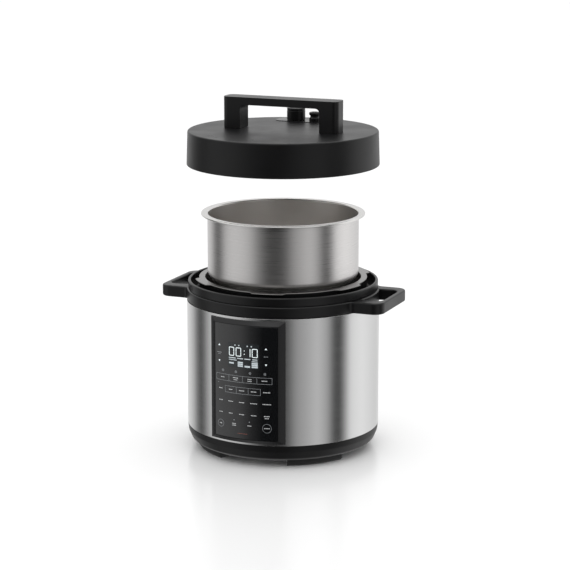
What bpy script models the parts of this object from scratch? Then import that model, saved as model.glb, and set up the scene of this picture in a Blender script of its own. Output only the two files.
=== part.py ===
"""Electric pressure cooker, drawn apart: base unit, lifted inner pot and lifted lid, in metres, +Z up.

The origin is on the table under the middle of the feet. The control panel faces -Y, the two
carrying handles point along X, and the bowl of condensate hangs at the back, at +Y.
"""

from math import asin, atan2, cos, degrees, hypot, pi, radians, sin, sqrt

import bmesh
import bpy
from mathutils import Matrix, Vector

# Driving dimensions, in metres.
GAP = 0.0003                    # clearance between two pieces that touch
BODY_RADIUS = 0.140             # brushed steel wall of the base unit
SHEET = 0.0010                  # steel sheet of the wall, liner and lid pan
SHELL_BOTTOM = 0.034
SHELL_TOP = 0.218
BAND_TOP = 0.235                # moulded band that carries the two handles
COLLAR_RADIUS = 0.1381
COLLAR_TOP = 0.2476
LUG_RING_TOP = 0.2515
FOOT_HEIGHT = 0.010
PAN_FLOOR = 0.0026
BOARD_BOTTOM = 0.040
BOARD_POSTS = ((-0.064, -0.042), (0.014, -0.042), (-0.064, 0.016), (0.014, 0.016))
SWITCH_SPOT = (0.0485, 0.0023)
HANDLE_REACH = 0.1725           # from the middle of the cooker to a handle's outer face
HANDLE_HALF_WIDTH = 0.058
HANDLE_CORNER = 0.013
HANDLE_BLEND = 0.008            # hollow corner where a handle leaves the band
GRIP_THICKNESS = 0.0075
LUG_COUNT = 6
LUG_ANGLE = 72.0                # first lug, in degrees from the front towards +X
LUG_WIDTH = 20.0                # degrees that one lug covers
LUG_REACH = 0.1285
WELL_RADIUS = 0.1133            # inside of the liner
POT_RADIUS = 0.1096
POT_WALL = 0.0012
POT_RIM_RADIUS = 0.1187
POT_RIM_TOP = 0.3456            # in the lifted position
POT_BOTTOM = 0.2460
POT_CORNER = 0.016
POT_DROP = 0.0908               # how far the pot sinks to sit on the lug ring
LID_BOTTOM = 0.4158             # in the lifted position
LID_TOP = 0.4648
LID_TOP_RADIUS = 0.1373
LID_BOTTOM_RADIUS = 0.1389
LID_WALL = 0.0028
LID_DROP = 0.1679               # how far the lid sinks to close on the collar
BRIDGE_TOP = 0.5105
BRIDGE_UNDERSIDE = 0.4995
BRIDGE_HALF_LENGTH = 0.0886
BRIDGE_GAP_HALF = 0.061         # half the length of the gap for the fingers
BRIDGE_HALF_WIDTH = 0.015
VALVE_SPOT = (-0.0200, 0.0990)
FLOAT_SPOT = (0.0105, 0.0966)
PANEL_HALF_ANGLE = 23.8         # outline of the panel frame, in degrees
GLASS_HALF_ANGLE = 19.7
PANEL_BOTTOM = 0.0370
PANEL_TOP = 0.2145
PANEL_FACE_RADIUS = 0.1442
PLATE_TOP = 0.1545              # heating plate
PLATE_RADIUS = 0.092
ROUND = 36                      # sides of a large turned piece
SMALL_ROUND = 20

MATERIALS = {
    "brushed_steel": ((0.60, 0.60, 0.60), 0.32, 1.0),
    "pot_steel": ((0.64, 0.63, 0.61), 0.36, 1.0),
    "bright_steel": ((0.70, 0.70, 0.70), 0.25, 1.0),
    "aluminium": ((0.66, 0.67, 0.68), 0.40, 1.0),
    "satin_black": ((0.016, 0.016, 0.017), 0.42, 0.0),
    "gloss_black": ((0.010, 0.010, 0.011), 0.12, 0.0),
    "rubber": ((0.02, 0.02, 0.02), 0.80, 0.0),
    "silicone": ((0.62, 0.62, 0.60), 0.50, 0.0),
    "clear_plastic": ((0.55, 0.58, 0.60), 0.10, 0.0),
    "board": ((0.02, 0.16, 0.06), 0.45, 0.0),
    "display": ((0.10, 0.12, 0.13), 0.15, 0.0),
    "blue_plastic": ((0.03, 0.09, 0.30), 0.40, 0.0),
    "white_wire": ((0.75, 0.75, 0.72), 0.50, 0.0),
    "brass": ((0.70, 0.52, 0.24), 0.30, 1.0),
}


def clear_scene():
    for obj in list(bpy.data.objects):
        bpy.data.objects.remove(obj, do_unlink=True)


def make_collection(name):
    collection = bpy.data.collections.new(name)
    bpy.context.scene.collection.children.link(collection)
    return collection


def make_material(name, finish):
    color, roughness, metallic = MATERIALS[finish]
    material = bpy.data.materials.new(name)
    material.use_nodes = True
    shader = material.node_tree.nodes["Principled BSDF"]
    shader.inputs["Base Color"].default_value = (*color, 1.0)
    shader.inputs["Roughness"].default_value = roughness
    shader.inputs["Metallic"].default_value = metallic
    return material


def place(obj, finish, origin=(0.0, 0.0, 0.0)):
    """Files a finished piece in the cooker's collection, with its own material."""
    for owner in list(obj.users_collection):
        owner.objects.unlink(obj)
    cooker.objects.link(obj)
    obj.data.materials.clear()
    obj.data.materials.append(make_material(obj.name, finish))
    if origin != (0.0, 0.0, 0.0):
        obj.data.transform(Matrix.Translation(-Vector(origin)))
        obj.location = origin
    if obj.type == "MESH":
        obj.data.shade_smooth()
        obj.data.set_sharp_from_angle(angle=radians(35))
    return obj


def as_cutter(obj):
    for owner in list(obj.users_collection):
        owner.objects.unlink(obj)
    cutters.objects.link(obj)
    obj.hide_render = True
    obj.display_type = "WIRE"
    return obj


def link_new(name, mesh):
    obj = bpy.data.objects.new(name, mesh)
    cooker.objects.link(obj)
    return obj


def freeze(obj, weld=0.000002):
    """Replaces an object by the plain mesh that its modifiers or its curve make."""
    depsgraph = bpy.context.evaluated_depsgraph_get()
    mesh = bpy.data.meshes.new_from_object(obj.evaluated_get(depsgraph))
    name = obj.name
    matrix = obj.matrix_world.copy()
    bpy.data.objects.remove(obj, do_unlink=True)
    mesh.transform(matrix)
    bm = bmesh.new()
    bm.from_mesh(mesh)
    bmesh.ops.remove_doubles(bm, verts=bm.verts, dist=weld)
    bm.to_mesh(mesh)
    bm.free()
    return link_new(name, mesh)


def turned(name, profile, sides=ROUND, at=(0.0, 0.0)):
    """A turned piece: (radius, height) points running down the outer side and back up the inner."""
    bm = bmesh.new()
    points = [bm.verts.new((radius, 0.0, height)) for radius, height in profile]
    for first, second in zip(points, points[1:] + points[:1]):
        if first.co.x > 0.0 or second.co.x > 0.0:
            bm.edges.new((first, second))
    mesh = bpy.data.meshes.new(name)
    bm.to_mesh(mesh)
    bm.free()
    obj = link_new(name, mesh)
    screw = obj.modifiers.new("Turn", "SCREW")
    screw.steps = sides
    screw.render_steps = sides
    screw.use_merge_vertices = True
    screw.merge_threshold = 0.00001
    obj.location = (at[0], at[1], 0.0)
    bpy.context.view_layer.update()
    return freeze(obj)


def flat_shape(name, loops, thickness):
    """A flat plate in XY from its outline and the outlines of its holes, thickness centred on zero."""
    curve = bpy.data.curves.new(name, "CURVE")
    curve.dimensions = "2D"
    curve.fill_mode = "BOTH"
    curve.extrude = thickness / 2
    for loop in loops:
        spline = curve.splines.new("POLY")
        spline.points.add(len(loop) - 1)
        for point, (x, y) in zip(spline.points, loop):
            point.co = (x, y, 0.0, 1.0)
        spline.use_cyclic_u = True
    obj = bpy.data.objects.new(name, curve)
    cooker.objects.link(obj)
    return obj


def plate(name, loops, bottom, top):
    """A flat plate lying level between two heights."""
    obj = flat_shape(name, loops, top - bottom)
    obj.location.z = (bottom + top) / 2
    bpy.context.view_layer.update()
    return freeze(obj)


def upright_plate(name, loops, middle_y, thickness):
    """A plate whose outline is drawn in XZ, standing across Y."""
    obj = flat_shape(name, loops, thickness)
    obj.rotation_euler.x = pi / 2
    obj.location.y = middle_y
    bpy.context.view_layer.update()
    return freeze(obj)


def box(name, low, high):
    bm = bmesh.new()
    bmesh.ops.create_cube(bm, size=1.0)
    mesh = bpy.data.meshes.new(name)
    bm.to_mesh(mesh)
    bm.free()
    low, high = Vector(low), Vector(high)
    size = high - low
    mesh.transform(Matrix.Translation((low + high) / 2) @ Matrix.Diagonal((*size, 1.0)))
    return link_new(name, mesh)


def rod(name, radius, start, end, sides=SMALL_ROUND):
    """A straight round bar between two points."""
    start, end = Vector(start), Vector(end)
    along = end - start
    bm = bmesh.new()
    bmesh.ops.create_cone(
        bm, cap_ends=True, segments=sides, radius1=radius, radius2=radius, depth=along.length
    )
    mesh = bpy.data.meshes.new(name)
    bm.to_mesh(mesh)
    bm.free()
    turn = Vector((0.0, 0.0, 1.0)).rotation_difference(along).to_matrix().to_4x4()
    mesh.transform(Matrix.Translation((start + end) / 2) @ turn)
    return link_new(name, mesh)


def wire(name, points, radius, resolution=2):
    """A round wire along the points, with filled ends."""
    curve = bpy.data.curves.new(name, "CURVE")
    curve.dimensions = "3D"
    curve.bevel_depth = radius
    curve.bevel_resolution = resolution
    curve.use_fill_caps = True
    spline = curve.splines.new("POLY")
    spline.points.add(len(points) - 1)
    for point, place_ in zip(spline.points, points):
        point.co = (*place_, 1.0)
    obj = bpy.data.objects.new(name, curve)
    cooker.objects.link(obj)
    bpy.context.view_layer.update()
    return freeze(obj)


def combine(obj, others, operation):
    """Joins pieces to one, or cuts them from it, and bakes the result."""
    for other in others:
        as_cutter(other)
        boolean = obj.modifiers.new(operation.title(), "BOOLEAN")
        boolean.operation = operation
        boolean.object = other
        boolean.solver = "EXACT"
    bpy.context.view_layer.update()
    return freeze(obj, 0.0000001)


def join(obj, *others):
    return combine(obj, others, "UNION")


def cut(obj, *others):
    return combine(obj, others, "DIFFERENCE")


def polar(radius, angle):
    """A point at an angle in degrees, counted from the front (-Y) towards +X."""
    return (radius * sin(radians(angle)), -radius * cos(radians(angle)))


def circle(radius, sides=ROUND, middle=(0.0, 0.0)):
    turns = [2 * pi * step / sides for step in range(sides)]
    return [(middle[0] + radius * cos(a), middle[1] + radius * sin(a)) for a in turns]


def arc(middle, radius, start, end, steps):
    """Points on an arc, with its angles in degrees counted from +X."""
    angles = [radians(start + (end - start) * step / steps) for step in range(steps + 1)]
    return [(middle[0] + radius * cos(a), middle[1] + radius * sin(a)) for a in angles]


def rounded_rectangle(x0, y0, x1, y1, radius, steps=3):
    points = arc((x1 - radius, y1 - radius), radius, 0, 90, steps)
    points += arc((x0 + radius, y1 - radius), radius, 90, 180, steps)
    points += arc((x0 + radius, y0 + radius), radius, 180, 270, steps)
    points += arc((x1 - radius, y0 + radius), radius, 270, 360, steps)
    return points


def curved_panel(name, stations, section):
    """A loft around the cooker: section(angle) gives the same count of (radius, height) points."""
    bm = bmesh.new()
    rings = []
    for angle in stations:
        ring = []
        for radius, height in section(angle):
            ring.append(bm.verts.new((*polar(radius, angle), height)))
        rings.append(ring)
    count = len(rings[0])
    for near, far in zip(rings, rings[1:]):
        for i in range(count):
            j = (i + 1) % count
            bm.faces.new((near[i], near[j], far[j], far[i]))
    bm.faces.new(rings[0])
    bm.faces.new(rings[-1])
    bmesh.ops.remove_doubles(bm, verts=bm.verts, dist=0.00001)
    bmesh.ops.recalc_face_normals(bm, faces=bm.faces)
    mesh = bpy.data.meshes.new(name)
    bm.to_mesh(mesh)
    bm.free()
    return link_new(name, mesh)


def spread(first, last, steps):
    return [first + (last - first) * step / steps for step in range(steps + 1)]


def screw_mesh(name, head_radius, shank_radius, tip, head, along):
    """A pan head screw: tip and head are distances along the direction from the origin."""
    reach = head - tip
    profile = [
        (0.0, head),
        (head_radius * 0.7, head),
        (head_radius, head - 0.0008),
        (head_radius, head - 0.0020),
        (shank_radius, head - 0.0020),
        (shank_radius, tip + min(0.001, reach / 4)),
        (0.0, tip),
    ]
    obj = turned(name, profile, sides=12)
    turn = Vector((0.0, 0.0, 1.0)).rotation_difference(Vector(along)).to_matrix().to_4x4()
    obj.data.transform(turn)
    return obj


# Base unit -------------------------------------------------------------------------------------


def build_outer_shell():
    inner = BODY_RADIUS - SHEET
    profile = [(BODY_RADIUS, SHELL_TOP), (BODY_RADIUS, SHELL_BOTTOM), (inner, SHELL_BOTTOM), (inner, SHELL_TOP)]
    shell = turned("outer_shell", profile)
    window = curved_panel(
        "panel_window",
        spread(-16.0, 16.0, 4),
        lambda angle: [(0.130, 0.046), (0.150, 0.046), (0.150, 0.204), (0.130, 0.204)],
    )
    socket_hole = box("socket_hole", (-0.0170, 0.120, 0.0420), (0.0170, 0.150, 0.0690))
    cup_hole = box("cup_hole", (-0.0311, 0.120, 0.1553), (0.0311, 0.150, 0.2127))
    place(cut(shell, window, socket_hole, cup_hole), "brushed_steel")


def handle_outline():
    """Outline of the band with both handles, counter-clockwise, in the XY plane."""
    blend_x = sqrt((BODY_RADIUS + HANDLE_BLEND) ** 2 - (HANDLE_HALF_WIDTH + HANDLE_BLEND) ** 2)
    blend_middle = (blend_x, HANDLE_HALF_WIDTH + HANDLE_BLEND)
    touch = degrees(atan2(blend_middle[1], blend_middle[0]))
    corner = (HANDLE_REACH - HANDLE_CORNER, HANDLE_HALF_WIDTH - HANDLE_CORNER)
    quarter = arc(corner, HANDLE_CORNER, 0, 90, 4)
    quarter += arc(blend_middle, HANDLE_BLEND, 270, 180 + touch, 3)
    quarter += arc((0.0, 0.0), BODY_RADIUS, touch, 90, 7)[1:]
    left = [(-x, y) for x, y in reversed(quarter[:-1])]
    upper = quarter + left
    lower = [(-x, -y) for x, y in upper]
    return upper + lower


def finger_opening(side):
    """Outline of the gap inside one handle; side is 1 at +X and -1 at -X."""
    outer = HANDLE_REACH - GRIP_THICKNESS
    half = HANDLE_HALF_WIDTH - 0.018
    inner = BODY_RADIUS + 0.0008
    reach = degrees(asin((half - 0.003) / inner))
    loop = [(outer, -half + 0.008), (outer, half - 0.008), (outer - 0.008, half)]
    loop += arc((0.0, 0.0), inner, reach, -reach, 6)
    loop += [(outer - 0.008, -half)]
    return [(side * x, y) for x, y in loop]


def build_handle_band():
    loops = [handle_outline(), circle(0.1349), finger_opening(1), finger_opening(-1)]
    band = plate("handle_band", loops, SHELL_TOP + GAP, BAND_TOP)
    place(band, "satin_black")


def build_top_collar():
    profile = [
        (COLLAR_RADIUS, COLLAR_TOP),
        (COLLAR_RADIUS, BAND_TOP + GAP),
        (0.1346, BAND_TOP + GAP),
        (0.1346, 0.2245),
        (0.1160, 0.2245),
        (0.1160, LUG_RING_TOP - 0.0021),
        (0.1218, LUG_RING_TOP - 0.0021),
        (0.1218, 0.2285),
        (0.1318, 0.2285),
        (0.1342, COLLAR_TOP),
    ]
    collar = turned("top_collar", profile)
    drain = rod("drain", 0.0025, (0.0, 0.128, 0.221), (0.0, 0.128, 0.232), 12)
    place(cut(collar, drain), "satin_black")


def lug_outline(radius, reach, first, width, count, sides_between):
    """A circle with evenly spaced teeth that reach further out."""
    loop = []
    for number in range(count):
        middle = first + 360.0 * number / count
        following = middle + 360.0 / count
        loop += [polar(reach, angle) for angle in spread(middle - width / 2, middle + width / 2, 3)]
        loop += [polar(radius, angle) for angle in spread(middle + width / 2 + 2, following - width / 2 - 2, sides_between)]
    return loop


def build_lug_ring():
    outline = lug_outline(0.1220, LUG_REACH, LUG_ANGLE, LUG_WIDTH, LUG_COUNT, 4)
    ring = plate("lug_ring", [outline, circle(WELL_RADIUS)], LUG_RING_TOP - 0.0017, LUG_RING_TOP)
    place(ring, "bright_steel")


def build_liner():
    top = LUG_RING_TOP - 0.0017 - GAP
    outer = WELL_RADIUS + SHEET
    profile = [
        (outer, top),
        (outer, 0.1500),
        (0.0945, 0.1500),
        (0.0945, 0.1510),
        (WELL_RADIUS, 0.1510),
        (WELL_RADIUS, top),
    ]
    place(turned("liner", profile), "bright_steel")


def build_base_pan():
    """The moulded tub that closes the bottom, with slots for the heat and posts for the inner parts."""
    floor = FOOT_HEIGHT
    profile = [
        (0.1386, SHELL_BOTTOM + 0.006),
        (0.1386, SHELL_BOTTOM - GAP),
        (0.1400, SHELL_BOTTOM - GAP),
        (0.1390, SHELL_BOTTOM - 0.009),
        (0.1345, floor + 0.004),
        (0.1290, floor),
        (0.0, floor),
        (0.0, floor + PAN_FLOOR),
        (0.1270, floor + PAN_FLOOR),
        (0.1360, SHELL_BOTTOM - 0.008),
        (0.1360, SHELL_BOTTOM + 0.006),
    ]
    pan = turned("base_pan", profile)
    root = floor + PAN_FLOOR / 2
    posts = [rod("post", 0.0035, (x, y, root), (x, y, BOARD_BOTTOM - GAP), 12) for x, y in BOARD_POSTS]
    posts.append(rod("post", 0.0045, (*SWITCH_SPOT, root), (*SWITCH_SPOT, 0.1095 - GAP), 12))
    holes = []
    for number in range(12):
        slot = box("vent_slot", (-0.0022, 0.092, 0.0), (0.0022, 0.116, 0.030))
        slot.data.transform(Matrix.Rotation(radians(15.0 + 30.0 * number), 4, "Z"))
        holes.append(slot)
    for number in range(4):
        x, y = polar(0.108, 90.0 * number)
        holes.append(rod("screw_hole", 0.0022, (x, y, 0.0), (x, y, 0.030), 9))
    place(cut(join(pan, *posts), *holes), "satin_black")


def build_feet():
    names = {"front_right": 45.0, "back_right": 135.0, "back_left": 225.0, "front_left": 315.0}
    for name, middle in names.items():
        stations = spread(middle - 20.0, middle + 20.0, 5)
        top = FOOT_HEIGHT - GAP
        foot = curved_panel(
            "foot_" + name,
            stations,
            lambda angle: [(0.0975, 0.0), (0.1225, 0.0), (0.1245, 0.0030), (0.1245, top), (0.0975, top)],
        )
        place(foot, "rubber")


def build_heating_plate():
    underside = PLATE_TOP - 0.0085
    profile = [
        (PLATE_RADIUS - 0.002, PLATE_TOP),
        (PLATE_RADIUS, PLATE_TOP - 0.002),
        (PLATE_RADIUS, underside),
        (0.0720, underside),
        (0.0720, underside - 0.0020),
        (0.0580, underside - 0.0020),
        (0.0580, underside),
        (0.0190, underside),
        (0.0190, PLATE_TOP),
    ]
    disc = turned("heating_plate", profile)
    legs = []
    for number in range(3):
        x, y = polar(0.081, 60.0 + 120.0 * number)
        legs.append(rod("plate_leg", 0.0045, (x, y, underside + 0.002), (x, y, 0.1315), 12))
    place(join(disc, *legs), "aluminium")


def build_heating_element():
    """A sheathed heater bent to a ring, with both ends turned down to the terminals."""
    height = PLATE_TOP - 0.0085 - 0.0020 - GAP - 0.0040
    ring = [(*polar(0.065, angle), height) for angle in spread(14.0, 346.0, 30)]
    start = [(*polar(0.065, 9.0), 0.1205), (*polar(0.065, 10.0), height - 0.005)]
    finish = [(*polar(0.065, 350.0), height - 0.005), (*polar(0.065, 351.0), 0.1205)]
    tube = wire("heating_element", start + ring + finish, 0.0040)
    place(tube, "aluminium")


def build_pressure_parts():
    """The spring steel disc under the heater, its spacers and the switch that it presses."""
    disc = plate("pressure_diaphragm", [circle(0.106, 36), circle(0.030, 18)], 0.1300, 0.1312)
    openings = []
    for sign in (1, -1):
        openings.append(box("terminal_gap", (sign * 0.011 - 0.008, -0.075, 0.12), (sign * 0.011 + 0.008, -0.053, 0.14)))
    place(cut(disc, *openings), "bright_steel")
    for number in range(3):
        x, y = polar(0.101, 120.0 * number)
        post = rod(f"diaphragm_post_{number + 1}", 0.0035, (x, y, 0.1312 + GAP), (x, y, 0.1500 - GAP), 12)
        place(post, "bright_steel")
    low = box("pressure_switch", (0.036, -0.007, 0.1120), (0.060, 0.007, 0.1265))
    plunger = rod("plunger", 0.0025, (0.048, 0.0, 0.1255), (0.048, 0.0, 0.1297), 12)
    place(join(low, plunger), "gloss_black")
    bracket = box("switch_bracket", (0.030, -0.010, 0.1095), (0.066, 0.010, 0.1117))
    place(bracket, "bright_steel")


def build_sensor():
    """The sprung button in the middle of the heater that feels the pot's bottom."""
    housing = turned(
        "sensor_housing",
        [
            (0.0170, 0.1480),
            (0.0170, 0.1240),
            (0.0, 0.1240),
            (0.0, 0.1260),
            (0.0146, 0.1260),
            (0.0146, 0.1480),
        ],
        SMALL_ROUND,
    )
    place(housing, "aluminium")
    top = PLATE_TOP + 0.0022
    button = turned(
        "sensor_button",
        [
            (0.0, top),
            (0.0155, top),
            (0.0168, top - 0.0012),
            (0.0168, 0.1515),
            (0.0140, 0.1515),
            (0.0140, 0.1405),
            (0.0128, 0.1405),
            (0.0128, 0.1530),
            (0.0, 0.1530),
        ],
        SMALL_ROUND,
    )
    place(button, "aluminium")
    turns = 5
    low, high = 0.1260 + 0.0012, 0.1530 - 0.0012
    points = []
    steps = turns * 10
    for step in range(steps + 1):
        angle = 2 * pi * turns * step / steps
        height = low + (high - low) * step / steps
        points.append((0.0095 * cos(angle), 0.0095 * sin(angle), height))
    place(wire("sensor_spring", points, 0.0008, 1), "bright_steel")


def build_electronics():
    fuse = rod("thermal_fuse", 0.0028, (-0.045, -0.008, 0.1415), (-0.045, 0.008, 0.1415), 12)
    place(fuse, "white_wire")
    place(box("power_board", (-0.070, -0.048, BOARD_BOTTOM), (0.020, 0.022, BOARD_BOTTOM + 0.0016)), "board")
    place(box("power_relay", (-0.056, -0.036, 0.0419), (-0.036, -0.020, 0.0579)), "blue_plastic")
    place(box("transformer", (-0.028, -0.040, 0.0419), (0.000, -0.016, 0.0639)), "satin_black")
    capacitor = rod("filter_capacitor", 0.0060, (-0.048, 0.004, 0.0419), (-0.048, 0.004, 0.0639), 16)
    place(capacitor, "gloss_black")
    place(box("control_board", (-0.042, -0.1315, 0.0500), (0.042, -0.1299, 0.2000)), "board")
    place(box("display_module", (-0.0250, -0.1396, 0.1450), (0.0250, -0.1318, 0.1840)), "display")
    path = [(-0.1296, 0.080), (-0.118, 0.078), (-0.104, 0.066), (-0.080, 0.052), (-0.056, 0.0475), (-0.047, 0.0470)]
    bm = bmesh.new()
    rows = [[bm.verts.new((x, y, z)) for x in (-0.020, 0.004)] for y, z in path]
    for near, far in zip(rows, rows[1:]):
        bm.faces.new((near[0], near[1], far[1], far[0]))
    mesh = bpy.data.meshes.new("ribbon_cable")
    bm.to_mesh(mesh)
    bm.free()
    ribbon = link_new("ribbon_cable", mesh)
    thicken = ribbon.modifiers.new("Thickness", "SOLIDIFY")
    thicken.thickness = 0.0010
    thicken.offset = 0.0
    bpy.context.view_layer.update()
    place(freeze(ribbon), "white_wire")


def panel_section(angle):
    """One cut through the panel frame: its edges slope from the steel up to the glass."""
    slope = (PANEL_HALF_ANGLE - abs(angle)) / (PANEL_HALF_ANGLE - GLASS_HALF_ANGLE)
    rise = min(1.0, max(0.0, slope))
    back = BODY_RADIUS + GAP
    edge = back + 0.0008
    face = edge + (PANEL_FACE_RADIUS - edge) * rise
    return [
        (back, PANEL_BOTTOM),
        (back, PANEL_TOP),
        (edge, PANEL_TOP),
        (face, PANEL_TOP - 0.0001 - 0.0059 * rise),
        (face, PANEL_BOTTOM + 0.0001 + 0.0049 * rise),
        (edge, PANEL_BOTTOM),
    ]


def build_panel():
    flat = spread(-GLASS_HALF_ANGLE, GLASS_HALF_ANGLE, 6)
    frame = curved_panel("panel_frame", [-PANEL_HALF_ANGLE] + flat + [PANEL_HALF_ANGLE], panel_section)
    low, high = PANEL_BOTTOM + 0.0055, PANEL_TOP - 0.0065
    half = GLASS_HALF_ANGLE - 0.3
    seat = PANEL_FACE_RADIUS - 0.0020
    pocket = curved_panel(
        "glass_pocket",
        [-half] + spread(-GLASS_HALF_ANGLE, GLASS_HALF_ANGLE, 6)[1:-1] + [half],
        lambda angle: [(seat, low), (0.150, low), (0.150, high), (seat, high)],
    )
    window = curved_panel(
        "frame_window",
        spread(-15.0, 15.0, 4),
        lambda angle: [(0.130, 0.050), (0.150, 0.050), (0.150, 0.200), (0.130, 0.200)],
    )
    place(cut(frame, pocket, window), "gloss_black")
    inset = half - 0.14
    glass = curved_panel(
        "panel_glass",
        [-inset] + spread(-GLASS_HALF_ANGLE, GLASS_HALF_ANGLE, 6)[1:-1] + [inset],
        lambda angle: [
            (seat + GAP, low + GAP),
            (PANEL_FACE_RADIUS, low + GAP),
            (PANEL_FACE_RADIUS, high - GAP),
            (seat + GAP, high - GAP),
        ],
    )
    place(glass, "gloss_black")


def build_power_inlet():
    """The three pole socket low on the back, with its pins set 5 mm inside the mouth."""
    outline = rounded_rectangle(-0.0190, 0.0405, 0.0190, 0.0705, 0.003, 2)
    flange = upright_plate("power_inlet", [outline], 0.1424, 0.0024)
    body = box("inlet_body", (-0.0160, 0.1180, 0.0430), (0.0160, 0.1420, 0.0680))
    mouth = box("inlet_mouth", (-0.0125, 0.1220, 0.0465), (0.0125, 0.150, 0.0645))
    inlet = cut(join(flange, body), mouth)
    pins = [
        box("pin", (x - 0.0010, 0.1200, z - 0.0020), (x + 0.0010, 0.1385, z + 0.0020))
        for x, z in ((-0.007, 0.0535), (0.007, 0.0535), (0.0, 0.0575))
    ]
    place(join(inlet, *pins), "satin_black")
    heater_live = [(-0.007, 0.1168, 0.054), (-0.007, 0.110, 0.060), (-0.030, 0.100, 0.085), (-0.060, 0.040, 0.100)]
    heater_live += [(-0.058, -0.030, 0.112), (-0.030, -0.058, 0.117), (*polar(0.065, 351.0), 0.1175), (*polar(0.065, 351.0), 0.1202)]
    heater_neutral = [(0.007, 0.1168, 0.054), (0.007, 0.110, 0.060), (0.050, 0.095, 0.085), (0.086, 0.030, 0.098)]
    heater_neutral += [(0.080, -0.040, 0.108), (0.040, -0.070, 0.115), (*polar(0.065, 9.0), 0.1175), (*polar(0.065, 9.0), 0.1202)]
    place(wire("heater_wire_live", heater_live, 0.0014, 1), "white_wire")
    place(wire("heater_wire_neutral", heater_neutral, 0.0014, 1), "white_wire")


def build_condensate_cup():
    """The little bowl at the back that catches what runs off the rim, and the niche it slides out of."""
    flange = curved_panel(
        "cup_holder",
        spread(166.4, 193.6, 4),
        lambda angle: [(0.1403, 0.1530), (0.1420, 0.1530), (0.1420, 0.2150), (0.1403, 0.2150)],
    )
    niche = box("niche", (-0.0305, 0.1185, 0.1560), (0.0305, 0.1410, 0.2120))
    hollow = box("niche_hollow", (-0.0285, 0.1205, 0.1580), (0.0285, 0.160, 0.2100))
    drain = rod("niche_drain", 0.0030, (0.0, 0.128, 0.205), (0.0, 0.128, 0.215), 12)
    place(cut(join(flange, niche), hollow, drain), "satin_black")
    back, front = 0.1212, 0.1480
    outline = rounded_rectangle(-0.0278, back, 0.0278, front, 0.006, 3)
    cup = plate("condensate_cup", [outline], 0.1584, 0.2080)
    inside = rounded_rectangle(-0.0260, back + 0.0018, 0.0260, front - 0.0018, 0.0045, 3)
    hollow = plate("cup_hollow", [inside], 0.1602, 0.2140)
    notch = box("finger_notch", (-0.0100, front - 0.004, 0.2010), (0.0100, front + 0.004, 0.2140))
    place(cut(cup, hollow, notch), "clear_plastic")


def build_base_screws():
    for number in range(4):
        x, y = polar(0.108, 90.0 * number)
        screw = screw_mesh(f"base_screw_{number + 1}", 0.0040, 0.0018, -0.0080, 0.0020, (0.0, 0.0, -1.0))
        screw.data.transform(Matrix.Translation((x, y, FOOT_HEIGHT - GAP)))
        place(screw, "bright_steel")


# Inner pot -------------------------------------------------------------------------------------


def build_pot():
    """The drawn steel pot: rolled rim, straight wall, rounded corner and a lifted middle below."""
    inner = POT_RADIUS - POT_WALL
    corner = POT_CORNER
    bottom = POT_BOTTOM
    rim = [
        (inner + 0.0010, POT_RIM_TOP),
        (POT_RIM_RADIUS - 0.0010, POT_RIM_TOP),
        (POT_RIM_RADIUS, POT_RIM_TOP - 0.0012),
        (POT_RIM_RADIUS - 0.0006, POT_RIM_TOP - 0.0030),
        (POT_RADIUS + 0.0010, POT_RIM_TOP - 0.0030),
        (POT_RADIUS, POT_RIM_TOP - 0.0040),
    ]
    outer_corner = [
        (POT_RADIUS - corner + corner * cos(a), bottom + corner - corner * sin(a))
        for a in [radians(22.5 * step) for step in range(5)]
    ]
    middle = [
        (0.0210, bottom),
        (0.0190, bottom + 0.0026),
        (0.0, bottom + 0.0026),
        (0.0, bottom + 0.0050),
        (0.0210, bottom + 0.0050),
        (0.0300, bottom + 0.0026),
    ]
    small = corner - POT_WALL
    floor = bottom + 0.0026
    inner_corner = [
        (inner - small + small * cos(a), floor + small - small * sin(a))
        for a in [radians(90 - 22.5 * step) for step in range(5)]
    ]
    profile = rim + outer_corner + middle + inner_corner + [(inner, POT_RIM_TOP - 0.0015)]
    place(turned("inner_pot", profile, 40), "pot_steel")


# Lid -------------------------------------------------------------------------------------------


def build_lid_cover():
    inner_top = LID_TOP - LID_WALL
    profile = [
        (LID_TOP_RADIUS - 0.0020, LID_TOP),
        (LID_TOP_RADIUS, LID_TOP - 0.0020),
        (LID_BOTTOM_RADIUS, LID_BOTTOM + 0.0010),
        (LID_BOTTOM_RADIUS - 0.0008, LID_BOTTOM),
        (LID_BOTTOM_RADIUS - LID_WALL, LID_BOTTOM),
        (LID_TOP_RADIUS - LID_WALL, inner_top),
        (0.0, inner_top),
        (0.0, LID_TOP),
    ]
    cover = turned("lid_cover", profile)
    bosses = []
    for number in range(3):
        x, y = polar(0.085, 120.0 * number)
        bosses.append(rod("pan_boss", 0.0055, (x, y, 0.4378), (x, y, inner_top + 0.001), 12))
    holes = [
        rod("valve_hole", 0.0052, (*VALVE_SPOT, 0.44), (*VALVE_SPOT, 0.48)),
        rod("float_hole", 0.0036, (*FLOAT_SPOT, 0.44), (*FLOAT_SPOT, 0.48)),
    ]
    for side in (1, -1):
        holes.append(rod("handle_screw_hole", 0.0026, (side * 0.0750, 0.0, 0.44), (side * 0.0750, 0.0, 0.48), 12))
    for number in range(3):
        x, y = polar(0.085, 120.0 * number)
        holes.append(rod("pan_screw_hole", 0.0018, (x, y, 0.43), (x, y, 0.4480), 12))
    place(cut(join(cover, *bosses), *holes), "satin_black")


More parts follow.
